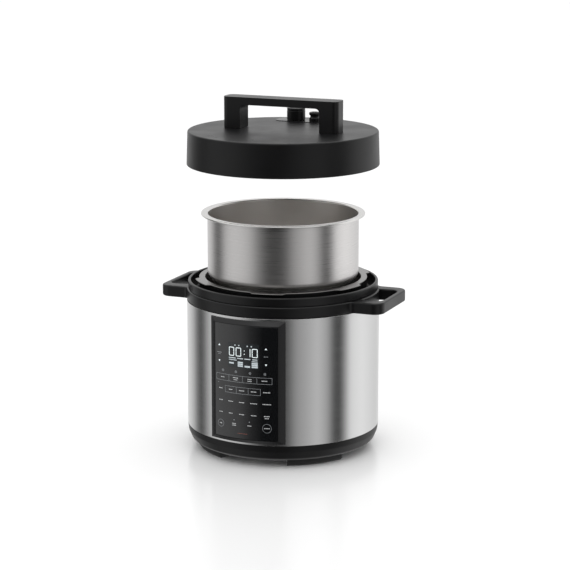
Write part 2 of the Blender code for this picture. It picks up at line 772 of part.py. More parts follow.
def build_lid_handle():
    """The straight bridge over the lid: a bar on two blocks, with rounded inner corners."""
    bottom = LID_TOP + GAP
    end, gap_end, top = BRIDGE_HALF_LENGTH, BRIDGE_GAP_HALF, BRIDGE_TOP
    fillet = 0.0060
    half = [(end, bottom)]
    half += arc((end - 0.0015, top - 0.0015), 0.0015, 0, 90, 2)
    inner = [(gap_end, bottom)]
    inner += arc((gap_end - fillet, BRIDGE_UNDERSIDE - fillet), fillet, 0, 90, 3)
    right = inner[::-1] + half
    loop = right + [(-x, z) for x, z in reversed(right)]
    bridge = upright_plate("lid_handle", [loop], 0.0, 2 * BRIDGE_HALF_WIDTH)
    corners = []
    radius = 0.0080
    for sx in (1, -1):
        for sy in (1, -1):
            block = box("corner_block", (0.0, 0.0, 0.45), (radius + 0.004, radius + 0.004, 0.53))
            round_part = rod("corner_round", radius, (0.0, 0.0, 0.44), (0.0, 0.0, 0.54), 16)
            piece = cut(block, round_part)
            piece.data.transform(Matrix.Scale(sx, 4, (1, 0, 0)) @ Matrix.Scale(sy, 4, (0, 1, 0)))
            if sx * sy < 0:
                piece.data.flip_normals()
            piece.data.transform(Matrix.Translation((sx * (end - radius), sy * (BRIDGE_HALF_WIDTH - radius), 0.0)))
            corners.append(piece)
    holes = [
        rod("thread_hole", 0.0016, (side * 0.0750, 0.0, 0.455), (side * 0.0750, 0.0, 0.4800), 12)
        for side in (1, -1)
    ]
    place(cut(bridge, *corners, *holes), "satin_black")
    for side, word in ((1, "right"), (-1, "left")):
        screw = screw_mesh(f"handle_screw_{word}", 0.0042, 0.0013, -0.0160, 0.0023, (0.0, 0.0, -1.0))
        screw.data.transform(Matrix.Translation((side * 0.0750, 0.0, LID_TOP - LID_WALL - GAP)))
        place(screw, "bright_steel")


def build_lid_pan():
    """The pressed steel plate under the cover, with hooks that pass between the lugs and then catch them."""
    profile = [
        (0.1215, 0.4375),
        (0.1230, 0.4360),
        (0.1230, 0.4245),
        (0.1310, 0.4245),
        (0.1310, LID_BOTTOM + 0.0001),
        (0.1295, LID_BOTTOM + 0.0001),
        (0.1295, 0.4230),
        (0.1215, 0.4230),
        (0.1215, 0.4360),
        (0.0, 0.4360),
        (0.0, 0.4375),
    ]
    pan = turned("lid_pan", profile)
    hooks = []
    for number in range(LUG_COUNT):
        middle = LUG_ANGLE + 360.0 * number / LUG_COUNT
        hooks.append(
            curved_panel(
                "hook",
                spread(middle - 9.0, middle + 9.0, 2),
                lambda angle: [
                    (0.1247, LID_BOTTOM + 0.0003),
                    (0.1303, LID_BOTTOM + 0.0003),
                    (0.1303, LID_BOTTOM + 0.0016),
                    (0.1247, LID_BOTTOM + 0.0016),
                ],
            )
        )
    holes = [
        rod("pipe_hole", 0.0048, (*VALVE_SPOT, 0.43), (*VALVE_SPOT, 0.445)),
        rod("pin_hole", 0.0036, (*FLOAT_SPOT, 0.43), (*FLOAT_SPOT, 0.445)),
    ]
    for number in range(3):
        x, y = polar(0.085, 120.0 * number)
        holes.append(rod("screw_hole", 0.0020, (x, y, 0.43), (x, y, 0.445), 12))
    place(cut(join(pan, *hooks), *holes), "bright_steel")
    for number in range(3):
        x, y = polar(0.085, 120.0 * number)
        screw = screw_mesh(f"pan_screw_{number + 1}", 0.0036, 0.0015, -0.0080, 0.0020, (0.0, 0.0, -1.0))
        screw.data.transform(Matrix.Translation((x, y, 0.4360 - GAP)))
        place(screw, "bright_steel")


def build_sealing_ring():
    profile = [
        (0.1202, 0.4356),
        (0.1202, 0.4255),
        (0.1190, 0.4230),
        (0.1100, 0.4230),
        (0.1080, 0.4245),
        (0.1080, 0.4262),
        (0.1150, 0.4275),
        (0.1150, 0.4325),
        (0.1090, 0.4340),
        (0.1090, 0.4356),
    ]
    place(turned("sealing_ring", profile), "silicone")
    rack = turned("ring_rack", [(0.1100 + 0.0018 * cos(a), 0.4302 - 0.0018 * sin(a)) for a in [radians(60 * i) for i in range(6)]])
    place(rack, "bright_steel")


def build_steam_valve():
    x, y = VALVE_SPOT
    low, high = LID_TOP + 0.0012, LID_TOP + 0.0192
    knob = turned(
        "steam_valve_knob",
        [
            (0.0, high - 0.0012),
            (0.0095, high - 0.0012),
            (0.0105, high),
            (0.0128, high),
            (0.0137, high - 0.0010),
            (0.0137, low),
            (0.0050, low),
            (0.0050, low + 0.0120),
            (0.0, low + 0.0120),
        ],
        24,
        VALVE_SPOT,
    )
    place(knob, "satin_black", (x, y, 0.0))
    pipe = turned(
        "steam_pipe",
        [(0.0044, low + 0.0114), (0.0044, 0.4357), (0.0070, 0.4357), (0.0070, 0.4332), (0.0022, 0.4332), (0.0022, low + 0.0114)],
        SMALL_ROUND,
        VALVE_SPOT,
    )
    place(pipe, "bright_steel")
    shield = turned(
        "anti_block_shield",
        [(0.0062, 0.4329), (0.0068, 0.4220), (0.0, 0.4220), (0.0, 0.4229), (0.0059, 0.4229), (0.0053, 0.4329)],
        SMALL_ROUND,
        VALVE_SPOT,
    )
    slots = []
    for turn in (0.0, 60.0, 120.0):
        slot = box("shield_slot", (-0.012, -0.0011, 0.4245), (0.012, 0.0011, 0.4310))
        slot.data.transform(Matrix.Translation((x, y, 0.0)) @ Matrix.Rotation(radians(turn), 4, "Z"))
        slots.append(slot)
    place(cut(shield, *slots), "bright_steel")


def build_float_valve():
    x, y = FLOAT_SPOT
    base = LID_TOP + GAP
    guard = turned(
        "float_guard",
        [
            (0.0083, base + 0.0137),
            (0.0083, base + 0.0115),
            (0.0050, base + 0.0040),
            (0.0050, base),
            (0.0036, base),
            (0.0036, base + 0.0100),
            (0.0058, base + 0.0137),
        ],
        SMALL_ROUND,
        FLOAT_SPOT,
    )
    place(guard, "satin_black")
    pin = turned(
        "float_pin",
        [
            (0.0, 0.4720),
            (0.0026, 0.4720),
            (0.0030, 0.4715),
            (0.0030, 0.4310),
            (0.0018, 0.4310),
            (0.0018, 0.4290),
            (0.0, 0.4290),
        ],
        16,
        FLOAT_SPOT,
    )
    place(pin, "bright_steel")
    cap = turned(
        "float_cap",
        [
            (0.0060, 0.4306),
            (0.0060, 0.4270),
            (0.0, 0.4270),
            (0.0, 0.4287),
            (0.0022, 0.4287),
            (0.0022, 0.4306),
        ],
        16,
        FLOAT_SPOT,
    )
    place(cap, "silicone")


clear_scene()
cooker = make_collection("electric_pressure_cooker")
cutters = make_collection("cutters")
build_outer_shell()
build_handle_band()
build_top_collar()
build_lug_ring()
build_liner()
build_base_pan()
build_feet()
build_heating_plate()
build_heating_element()
build_pressure_parts()
build_sensor()
build_electronics()
build_panel()
build_power_inlet()
build_condensate_cup()
build_base_screws()
build_pot()
build_lid_cover()
build_lid_handle()
build_lid_pan()
build_sealing_ring()
build_steam_valve()
build_float_valve()
for leftover in list(cutters.objects):
    bpy.data.objects.remove(leftover, do_unlink=True)
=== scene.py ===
"""Electric pressure cooker, drawn apart: the looks of its base unit, inner pot and lid.

Every size is in metres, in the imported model's own frame: +Z up, the control panel at -Y.
"""

from math import asin, atan2, cos, degrees, hypot, pi, radians, sin, sqrt, tan

import bmesh
import bpy
from bpy.props import FloatProperty, FloatVectorProperty, IntProperty, PointerProperty
from mathutils import Matrix, Vector


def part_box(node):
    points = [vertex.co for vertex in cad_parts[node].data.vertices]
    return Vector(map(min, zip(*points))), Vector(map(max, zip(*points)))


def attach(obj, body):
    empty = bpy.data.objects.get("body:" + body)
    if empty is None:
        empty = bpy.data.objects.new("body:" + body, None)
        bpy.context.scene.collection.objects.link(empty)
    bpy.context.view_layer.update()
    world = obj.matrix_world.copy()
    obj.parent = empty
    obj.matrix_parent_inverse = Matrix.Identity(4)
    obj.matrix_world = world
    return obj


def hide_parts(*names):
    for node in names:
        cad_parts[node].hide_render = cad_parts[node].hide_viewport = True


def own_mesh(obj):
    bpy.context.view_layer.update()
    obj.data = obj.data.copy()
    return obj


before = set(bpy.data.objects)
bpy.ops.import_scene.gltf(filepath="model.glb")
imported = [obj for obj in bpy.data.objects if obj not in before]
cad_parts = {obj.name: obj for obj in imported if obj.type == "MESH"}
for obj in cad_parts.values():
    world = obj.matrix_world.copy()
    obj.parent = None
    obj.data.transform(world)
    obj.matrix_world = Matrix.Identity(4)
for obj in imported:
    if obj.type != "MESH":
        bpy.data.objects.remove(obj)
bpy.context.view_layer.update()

bl_info = {
    "name": "Electric pressure cooker",
    "version": (1, 0, 0),
    "blender": (4, 5, 0),
    "location": "3D View > Sidebar > Cooker",
    "description": "Dresses a countertop pressure cooker in finished pieces and materials",
    "category": "Add Mesh",
}

LAYER = 0.0003  # the air that neighbouring pieces keep


def low(node, axis=2):
    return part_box(node)[0][axis]


def high(node, axis=2):
    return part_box(node)[1][axis]


def centre_of(node):
    """The middle of a node, seen from above."""
    first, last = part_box(node)
    return ((first[0] + last[0]) / 2, (first[1] + last[1]) / 2)


def srgb(code):
    """An sRGB hex colour as the linear colour that a shader wants."""
    channels = [int(code[i : i + 2], 16) / 255 for i in (1, 3, 5)]
    linear = [c / 12.92 if c <= 0.04045 else ((c + 0.055) / 1.055) ** 2.4 for c in channels]
    return (*linear, 1.0)


def length(name, default, description):
    return FloatProperty(
        name=name, description=description, default=default, min=0.0, unit="LENGTH", precision=5,
    )


def colour(name, code, description):
    return FloatVectorProperty(
        name=name, description=description, default=srgb(code)[:3], min=0.0, max=1.0, subtype="COLOR"
    )


class CookerSizes(bpy.types.PropertyGroup):
    """Sizes of the cooker's main pieces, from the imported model."""

    body_radius: length("Body radius", high("outer_shell", 0), "Outside of the brushed steel wall")
    handle_reach: length(
        "Handle reach", high("handle_band", 0), "From the middle to a carrying handle's outer face",
    )
    handle_half: length("Handle half width", 0.058, "Half the width of a carrying handle")
    grip: length("Grip thickness", 0.0075, "Thickness of the bar that the fingers close round")
    pot_radius: length("Pot radius", 0.1096, "Outside of the pot's straight wall")
    pot_corner: length("Pot corner", 0.0160, "Radius between the pot's wall and its bottom")
    lid_edge: length("Lid edge", 0.0022, "Radius of the lid's upper edge")
    bridge_half: length("Bridge half width", high("lid_handle", 1), "Half the width of the lid's handle")
    print_line: length("Print line", 0.00042, "Width of the lines printed on the glass")
    segments: IntProperty(
        name="Segments", description="Sides of a large round piece", default=192, min=48, max=256,
    )


class CookerColours(bpy.types.PropertyGroup):
    """Colours of the cooker's finishes."""

    black: colour("Black plastic", "#0b0b0c", "Satin black moulding of the lid, band and handles")
    glass: colour("Panel glass", "#0b0c0e", "Smoked acrylic over the control panel")
    steel: colour("Steel", "#cbcbcb", "Brushed stainless steel")
    printed: colour("Print", "#c9cbcc", "Pale grey print of the touch keys")
    lit: colour("Display", "#dfe9ea", "Lit digits of the display")
    seal: colour("Seal", "#cfcfc9", "Translucent silicone rubber")


# Materials -------------------------------------------------------------------------------------


def add(tree, kind, inputs=None, **settings):
    """Adds a node. Its inputs take values, or the output sockets that feed them."""
    node = tree.nodes.new(kind)
    for name, value in settings.items():
        setattr(node, name, value)
    for name, value in (inputs or {}).items():
        if isinstance(value, bpy.types.NodeSocket):
            tree.links.new(value, node.inputs[name])
        else:
            node.inputs[name].default_value = value
    return node


def start(name, base, metallic, roughness, **sockets):
    """A material with its shader, and the piece's own coordinates, in metres."""
    if name in bpy.data.materials:
        bpy.data.materials.remove(bpy.data.materials[name])
    material = bpy.data.materials.new(name)
    material.use_nodes = True
    tree = material.node_tree
    shader = tree.nodes["Principled BSDF"]
    shader.inputs["Base Color"].default_value = (*base[:3], 1.0)
    shader.inputs["Metallic"].default_value = metallic
    shader.inputs["Roughness"].default_value = roughness
    for socket, value in sockets.items():
        shader.inputs[socket.replace("_", " ")].default_value = value
    place = add(tree, "ShaderNodeTexCoord").outputs["Object"]
    return material, tree, shader, place


def vary(tree, shader, socket, pattern, lowest, highest):
    """Lets a 0 to 1 pattern move one of the shader's sockets between two values."""
    spread = add(tree, "ShaderNodeMapRange", {"Value": pattern, "To Min": lowest, "To Max": highest})
    spread.inputs["From Min"].default_value = 0.3
    spread.inputs["From Max"].default_value = 0.7
    tree.links.new(spread.outputs["Result"], shader.inputs[socket])


def tint(tree, shader, pattern, first, second):
    mix = add(tree, "ShaderNodeMix", {"Factor": pattern}, data_type="RGBA")
    mix.inputs["A"].default_value = first
    mix.inputs["B"].default_value = second
    tree.links.new(mix.outputs["Result"], shader.inputs["Base Color"])


def scaled(shade, factor):
    return (*[min(1.0, c * factor) for c in shade[:3]], 1.0)


def moulded(name, base, roughness, grain_mm, depth_mm, **sockets):
    """Injection moulded ABS or polypropylene: a fine spark-eroded grain, and a sheen that handling evens."""
    material, tree, shader, place = start(name, base, 0.0, roughness, IOR=1.52, **sockets)
    grain = add(tree, "ShaderNodeTexNoise", {"Vector": place, "Scale": 1000 / grain_mm, "Detail": 2.0})
    flow = add(tree, "ShaderNodeTexNoise", {"Vector": place, "Scale": 22.0, "Detail": 3.0})
    relief = add(
        tree, "ShaderNodeBump",
        {"Height": grain.outputs["Fac"], "Strength": 0.35, "Distance": depth_mm / 1000},
    )
    tree.links.new(relief.outputs["Normal"], shader.inputs["Normal"])
    vary(tree, shader, "Roughness", flow.outputs["Fac"], roughness - 0.03, roughness + 0.04)
    tint(tree, shader, flow.outputs["Fac"], scaled(base, 0.88), scaled(base, 1.12))
    return material


def brushed(name, base, roughness, line_mm, stretch, depth_mm=0.010, contrast=0.10):
    """Stainless steel finished with belts that ran round the piece: fine lines about Z, soft highlights."""
    material, tree, shader, place = start(
        name, base, 1.0, roughness, Anisotropic=stretch, Anisotropic_Rotation=0.25,
    )
    parts = add(tree, "ShaderNodeSeparateXYZ", {"Vector": place})
    across = add(tree, "ShaderNodeVectorMath", {0: place, 1: (1.0, 1.0, 0.0)}, operation="MULTIPLY")
    radius = add(tree, "ShaderNodeVectorMath", {0: across.outputs["Vector"]}, operation="LENGTH")
    climb = add(tree, "ShaderNodeMath", {0: radius.outputs["Value"], 1: parts.outputs["Z"]})
    fine = add(tree, "ShaderNodeMath", {0: climb.outputs["Value"], 1: 1000 / line_mm}, operation="MULTIPLY")
    slow_x = add(tree, "ShaderNodeMath", {0: parts.outputs["X"], 1: 14.0}, operation="MULTIPLY")
    slow_y = add(tree, "ShaderNodeMath", {0: parts.outputs["Y"], 1: 14.0}, operation="MULTIPLY")
    path = add(
        tree, "ShaderNodeCombineXYZ", {"X": slow_x.outputs[0], "Y": slow_y.outputs[0], "Z": fine.outputs[0]},
    )
    lines = add(tree, "ShaderNodeTexNoise", {"Vector": path.outputs["Vector"], "Scale": 1.0, "Detail": 3.0})
    relief = add(
        tree, "ShaderNodeBump",
        {"Height": lines.outputs["Fac"], "Strength": 0.30, "Distance": depth_mm / 1000},
    )
    tangent = add(tree, "ShaderNodeTangent", direction_type="RADIAL", axis="Z")
    tree.links.new(relief.outputs["Normal"], shader.inputs["Normal"])
    tree.links.new(tangent.outputs["Tangent"], shader.inputs["Tangent"])
    vary(tree, shader, "Roughness", lines.outputs["Fac"], roughness - 0.04, roughness + 0.05)
    tint(tree, shader, lines.outputs["Fac"], scaled(base, 1.0 - contrast), scaled(base, 1.0 + contrast / 2))
    return material


def cast(name, base, roughness, pit_mm, depth_mm, metallic=1.0):
    """Cast or blasted metal: shallow random pits, dull where they are deep."""
    material, tree, shader, place = start(name, base, metallic, roughness)
    pits = add(tree, "ShaderNodeTexNoise", {"Vector": place, "Scale": 1000 / pit_mm, "Detail": 4.0})
    relief = add(
        tree, "ShaderNodeBump",
        {"Height": pits.outputs["Fac"], "Strength": 0.5, "Distance": depth_mm / 1000},
    )
    tree.links.new(relief.outputs["Normal"], shader.inputs["Normal"])
    vary(tree, shader, "Roughness", pits.outputs["Fac"], roughness - 0.06, roughness + 0.08)
    tint(tree, shader, pits.outputs["Fac"], scaled(base, 0.85), scaled(base, 1.08))
    return material


def glowing(name, base, strength):
    """A lit segment or lamp behind the smoked acrylic."""
    material, tree, shader, place = start(name, base, 0.0, 0.35)
    cells = add(tree, "ShaderNodeTexNoise", {"Vector": place, "Scale": 260.0, "Detail": 1.0})
    tint(tree, shader, cells.outputs["Fac"], scaled(base, 0.85), scaled(base, 1.05))
    shader.inputs["Emission Color"].default_value = (*base[:3], 1.0)
    shader.inputs["Emission Strength"].default_value = strength
    return material


FINISHES = {}


def finish(name):
    """Makes a finish when it is first asked for, and hands it out again after that."""
    if name not in FINISHES:
        maker, *settings = finish_settings()[name]
        sockets = settings.pop() if isinstance(settings[-1], dict) else {}
        FINISHES[name] = maker(name, *settings, **sockets)
    return FINISHES[name]


def finish_settings():
    """Each finish's maker, its colour and numbers in that maker's order, and any shader sockets."""
    colours = bpy.context.scene.cooker_colours
    black, steel = (*colours.black, 1.0), (*colours.steel, 1.0)
    return {
        # The mouldings' grain is drawn coarser than a real one, so that it shows.
        "satin_abs": (moulded, black, 0.38, 0.6, 0.020, {"Specular_IOR_Level": 0.25}),
        "handle_abs": (moulded, black, 0.34, 0.6, 0.020, {"Specular_IOR_Level": 0.28}),
        "collar_abs": (moulded, black, 0.32, 0.5, 0.015, {"Specular_IOR_Level": 0.28}),
        "gloss_abs": (moulded, srgb("#08080a"), 0.24, 1.2, 0.004, {"Specular_IOR_Level": 0.36}),
        "polypropylene": (moulded, srgb("#09090a"), 0.42, 0.7, 0.030, {"Specular_IOR_Level": 0.24}),
        "smoked_acrylic": (
            moulded, (*colours.glass, 1.0), 0.10, 3.0, 0.002, {"Coat_Weight": 0.5, "Coat_Roughness": 0.05},
        ),
        "brushed_shell": (brushed, steel, 0.22, 0.45, 0.65, 0.005, 0.06),
        "drawn_pot": (brushed, srgb("#cbc9c8"), 0.30, 0.60, 0.45, 0.0015, 0.02),
        # The pot's inside: the pot's steel with a lighter base colour, painted light that offsets the shade
        # of the light bouncing round inside the pot.
        "polished_pot": (brushed, srgb("#e1dedb"), 0.34, 0.60, 0.30, 0.0010, 0.02),
        "lug_steel": (brushed, srgb("#777675"), 0.22, 0.80, 0.30, 0.004, 0.06),
        "rolled_rim": (brushed, srgb("#d6d5d3"), 0.22, 0.60, 0.30, 0.004, 0.04),
        "pressed_steel": (brushed, srgb("#bfbdba"), 0.33, 0.80, 0.30, 0.008, 0.08),
        "bright_steel": (cast, srgb("#d2d0cd"), 0.22, 1.5, 0.004),
        "cast_aluminium": (cast, srgb("#c3c5c7"), 0.46, 0.8, 0.030),
        "nitrile_rubber": (moulded, srgb("#161616"), 0.72, 0.9, 0.060),
        "silicone_rubber": (
            moulded, (*colours.seal, 1.0), 0.44, 1.0, 0.010,
            {"Subsurface_Weight": 0.25, "Subsurface_Scale": 0.004},
        ),
        "clear_polycarbonate": (moulded, srgb("#c9d0d4"), 0.14, 2.5, 0.003, {"Transmission_Weight": 0.82}),
        "solder_mask": (moulded, srgb("#1b5a33"), 0.35, 1.4, 0.020),
        "blue_case": (moulded, srgb("#24478c"), 0.42, 0.8, 0.020),
        "wire_sleeve": (moulded, srgb("#d5d3cc"), 0.48, 1.0, 0.020),
        "black_case": (moulded, srgb("#1a1b1d"), 0.38, 1.0, 0.015),
        "display_pane": (moulded, srgb("#1c2022"), 0.16, 2.0, 0.002),
        "key_print": (glowing, (*colours.printed, 1.0), 0.10),
        "dim_print": (glowing, srgb("#8d9093"), 0.04),
        "lit_segment": (glowing, (*colours.lit, 1.0), 0.50),
        "soft_segment": (glowing, srgb("#b7c0c4"), 0.26),
        "red_print": (glowing, srgb("#8a4a3c"), 0.08),
    }


# Shapes ----------------------------------------------------------------------------------------


def polar(radius, angle):
    """A point at an angle in degrees, counted from the front (-Y) towards +X."""
    return (radius * sin(radians(angle)), -radius * cos(radians(angle)))


def spread(first, last, steps):
    return [first + (last - first) * step / steps for step in range(steps + 1)]


def arc(middle, radius, first, last, steps):
    """Points on an arc, with its angles in degrees counted from +X."""
    angles = [radians(angle) for angle in spread(first, last, steps)]
    return [(middle[0] + radius * cos(a), middle[1] + radius * sin(a)) for a in angles]


def rounded(points, steps=5):
    """Rounds each corner of a closed outline that carries a third number, its radius."""
    outline = []
    for i, point in enumerate(points):
        here = Vector(point[:2])
        before, after = Vector(points[i - 1][:2]) - here, Vector(points[(i + 1) % len(points)][:2]) - here
        half = before.angle(after) / 2 if before.length * after.length > 0.0 else pi / 2
        if len(point) == 2 or half > pi / 2 - 0.02:
            outline.append(tuple(here))
            continue
        reach = min(point[2] / tan(half), 0.49 * min(before.length, after.length))
        before.normalize()
        after.normalize()
        middle = here + (before + after).normalized() * reach / cos(half)
        first, last = here + before * reach - middle, here + after * reach - middle
        turn = (atan2(last.y, last.x) - atan2(first.y, first.x) + pi) % (2 * pi) - pi
        for step in range(steps + 1):
            spoke = Matrix.Rotation(turn * step / steps, 2) @ first
            outline.append(tuple(middle + spoke))
    return outline


def bare(name, mesh):
    obj = bpy.data.objects.new(name, mesh)
    bpy.context.scene.collection.objects.link(obj)
    return obj


def tidy_mesh(mesh, sharp=32):
    """Merges doubled points, turns the faces outwards and keeps the real edges crisp."""
    bm = bmesh.new()
    bm.from_mesh(mesh)
    bmesh.ops.remove_doubles(bm, verts=bm.verts, dist=0.0000005)
    bmesh.ops.recalc_face_normals(bm, faces=bm.faces)
    bm.to_mesh(mesh)
    bm.free()
    mesh.shade_smooth()
    mesh.set_sharp_from_angle(angle=radians(sharp))


def baked(obj):
    """The plain mesh that an object's modifiers or curve make, with the object removed."""
    graph = bpy.context.evaluated_depsgraph_get()
    mesh = bpy.data.meshes.new_from_object(obj.evaluated_get(graph))
    mesh.transform(obj.matrix_world)
    bpy.data.objects.remove(obj, do_unlink=True)
    return mesh


def piece(name, mesh, material, body, replaced=(), sharp=32):
    """Files a finished mesh as a piece of the cooker that moves with a body."""
    tidy_mesh(mesh, sharp)
    mesh.materials.clear()
    mesh.materials.append(finish(material))
    obj = bare(name, mesh)
    even = obj.modifiers.new("Even normals", "WEIGHTED_NORMAL")
    even.keep_sharp = True
    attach(obj, body)
    if replaced:
        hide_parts(*replaced)
    return obj


def revolve(profile, centre=(0.0, 0.0), segments=None):
    """A closed (radius, height) outline turned about a vertical axis."""
    segments = segments or bpy.context.scene.cooker_sizes.segments
    vertices, rings = [], []
    for radius, height in profile:
        count = segments if radius > 0.0 else 1
        rings.append([len(vertices) + i % count for i in range(segments)])
        for i in range(count):
            x, y = polar(radius, 360.0 * i / segments)
            vertices.append((centre[0] + x, centre[1] + y, height))
    faces = []
    for near, far in zip(rings, rings[1:] + rings[:1]):
        for i in range(segments):
            j = (i + 1) % segments
            corners = list(dict.fromkeys((near[i], near[j], far[j], far[i])))
            if len(corners) > 2:
                faces.append(corners)
    mesh = bpy.data.meshes.new("turned")
    mesh.from_pydata(vertices, [], faces)
    return mesh


def wrapped(stations, section):
    """A loft round the cooker: section(angle) gives (radius, height) points, the same count each time."""
    vertices, faces = [], []
    for angle in stations:
        vertices += [(*polar(radius, angle), height) for radius, height in section(angle)]
    count = len(vertices) // len(stations)
    for row in range(len(stations) - 1):
        for i in range(count):
            j = (i + 1) % count
            near, far = row * count, (row + 1) * count
            faces.append((near + i, near + j, far + j, far + i))
    faces += [tuple(range(count)), tuple(range(len(vertices) - count, len(vertices)))]
    mesh = bpy.data.meshes.new("wrapped")
    mesh.from_pydata(vertices, [], faces)
    return mesh


def slab(loops, bottom, top, edge):
    """A level plate cut to outlines, with all its edges rounded."""
    curve = bpy.data.curves.new("slab", "CURVE")
    curve.dimensions = "2D"
    curve.fill_mode = "BOTH"
    curve.extrude = (top - bottom) / 2 - edge
    curve.bevel_depth = edge
    curve.bevel_resolution = 2
    curve.offset = -edge
    for loop in loops:
        spline = curve.splines.new("POLY")
        spline.points.add(len(loop) - 1)
        for point, (x, y) in zip(spline.points, loop):
            point.co = (x, y, 0.0, 1.0)
        spline.use_cyclic_u = True
    mesh = baked(bare("slab", curve))
    mesh.transform(Matrix.Translation((0.0, 0.0, (bottom + top) / 2)))
    return mesh


def block(first, last, edge=0.0, steps=2):
    """A box between two corners, its edges rounded if asked."""
    bm = bmesh.new()
    bmesh.ops.create_cube(bm, size=1.0)
    first, last = Vector(first), Vector(last)
    size = Matrix.Diagonal((*(last - first), 1.0))
    bmesh.ops.transform(bm, matrix=Matrix.Translation((first + last) / 2) @ size, verts=bm.verts)
    if edge:
        bmesh.ops.bevel(
            bm, geom=bm.edges[:] + bm.verts[:], offset=edge, segments=steps, profile=0.5, affect="EDGES"
        )
    mesh = bpy.data.meshes.new("block")
    bm.to_mesh(mesh)
    bm.free()
    return mesh


def bar(radius, first, last, sides=24):
    """A plain round bar between two points."""
    first, last = Vector(first), Vector(last)
    along = last - first
    bm = bmesh.new()
    bmesh.ops.create_cone(
        bm, cap_ends=True, segments=sides, radius1=radius, radius2=radius, depth=along.length
    )
    turn = Vector((0.0, 0.0, 1.0)).rotation_difference(along).to_matrix().to_4x4()
    bmesh.ops.transform(bm, matrix=Matrix.Translation((first + last) / 2) @ turn, verts=bm.verts)
    mesh = bpy.data.meshes.new("bar")
    bm.to_mesh(mesh)
    bm.free()
    return mesh


def boolean(mesh, others, operation="DIFFERENCE"):
    """Cuts meshes from a mesh, or joins them to it."""
    obj = bare("work", mesh)
    helpers = []
    for other in others:
        tidy_mesh(other)
        helper = bare("helper", other)
        helpers.append(helper)
        modifier = obj.modifiers.new("Shape", "BOOLEAN")
        modifier.operation = operation
        modifier.object = helper
        modifier.solver = "EXACT"
    tidy_mesh(mesh)
    bpy.context.view_layer.update()
    result = baked(obj)
    for helper in helpers:
        bpy.data.objects.remove(helper, do_unlink=True)
    return result


def merged(meshes):
    """Several meshes as one, without joining their solids."""
    bm = bmesh.new()
    for mesh in meshes:
        bm.from_mesh(mesh)
    result = bpy.data.meshes.new("merged")
    bm.to_mesh(result)
    bm.free()
    return result


def grown(name, build, settings, body, material, replaced=()):
    """Runs a geometry node tree on an empty mesh, keeps what it makes and drops the modifier."""
    tree = bpy.data.node_groups.new(name, "GeometryNodeTree")
    tree.interface.new_socket("Geometry", in_out="INPUT", socket_type="NodeSocketGeometry")
    for label, value in settings.items():
        kind = "NodeSocketInt" if isinstance(value, int) else "NodeSocketFloat"
        tree.interface.new_socket(label, in_out="INPUT", socket_type=kind)
    tree.interface.new_socket("Geometry", in_out="OUTPUT", socket_type="NodeSocketGeometry")
    given = add(tree, "NodeGroupInput")
    made = build(tree, given.outputs)
    real = add(tree, "GeometryNodeRealizeInstances", {"Geometry": made})
    dressed = add(
        tree, "GeometryNodeSetMaterial", {"Geometry": real.outputs[0], "Material": finish(material)},
    )
    add(tree, "NodeGroupOutput", {"Geometry": dressed.outputs[0]})
    obj = bare(name, bpy.data.meshes.new(name))
    modifier = obj.modifiers.new("Grow", "NODES")
    modifier.node_group = tree
    for item in tree.interface.items_tree:
        if item.in_out == "INPUT" and item.name in settings:
            modifier[item.identifier] = settings[item.name]
    bpy.context.view_layer.update()
    return piece(name, baked(obj), material, body, replaced)


# Pieces ----------------------------------------------------------------------------------------


class Piece:
    """What every operator of this panel shares."""

    bl_options = {"REGISTER", "UNDO"}

    def execute(self, context):
        self.build(context.scene.cooker_sizes)
        return {"FINISHED"}


class COOKER_OT_shell(Piece, bpy.types.Operator):
    """Rolls the brushed steel wall and opens it for the panel, the socket and the cup"""

    bl_idname = "cooker.shell"
    bl_label = "Steel Wall"

    def build(self, size):
        bottom, top, radius = low("outer_shell"), high("outer_shell"), size.body_radius
        wall = revolve(rounded([
            (radius, top, 0.0003), (radius, bottom, 0.0004), (radius - 0.0010, bottom, 0.0003),
            (radius - 0.0010, top, 0.0003),
        ]))
        cup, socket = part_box("cup_holder"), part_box("power_inlet")
        openings = [
            block((-0.0385, -0.150, 0.046), (0.0385, -0.120, 0.204)),
            block(
                (cup[0][0] + 0.0024, 0.120, cup[0][2] + 0.0023),
                (cup[1][0] - 0.0024, 0.150, cup[1][2] - 0.0023),
            ),
            block((-0.0170, 0.120, socket[0][2] + 0.0015), (0.0170, 0.150, socket[1][2] - 0.0015)),
        ]
        piece("steel_wall", boolean(wall, openings), "brushed_shell", "base", ["outer_shell"])


def band_outline(size, edge=0.0):
    """The band with its two loops, counter-clockwise, for the right rear quarter and its mirrors."""
    half, reach, radius, blend, corner = size.handle_half, size.handle_reach, size.body_radius, 0.008, 0.016
    blend_x = sqrt((radius + blend) ** 2 - (half + blend) ** 2)
    touch = degrees(atan2(half + blend, blend_x))
    quarter = [(reach, 0.020)] + arc((reach - corner, half - corner), corner, 0, 90, 10)
    quarter += arc((blend_x, half + blend), blend, 270, 180 + touch, 7)
    quarter += arc((0.0, 0.0), radius, touch, 90, 26)[1:]
    upper = quarter + [(-x, y) for x, y in reversed(quarter[:-1])]
    return upper + [(-x, -y) for x, y in upper]


def finger_loop(size, side):
    """The opening inside one loop, with its corners rounded."""
    outer, half, inner = size.handle_reach - size.grip, size.handle_half - 0.0180, size.body_radius + 0.0008
    reach = degrees(asin((half - 0.003) / inner))
    loop = [(outer, -half, 0.0110), (outer, half, 0.0110)]
    loop += arc((0.0, 0.0), inner, reach, -reach, 24)
    return [(side * x, y) for x, y in rounded(loop, 7)]


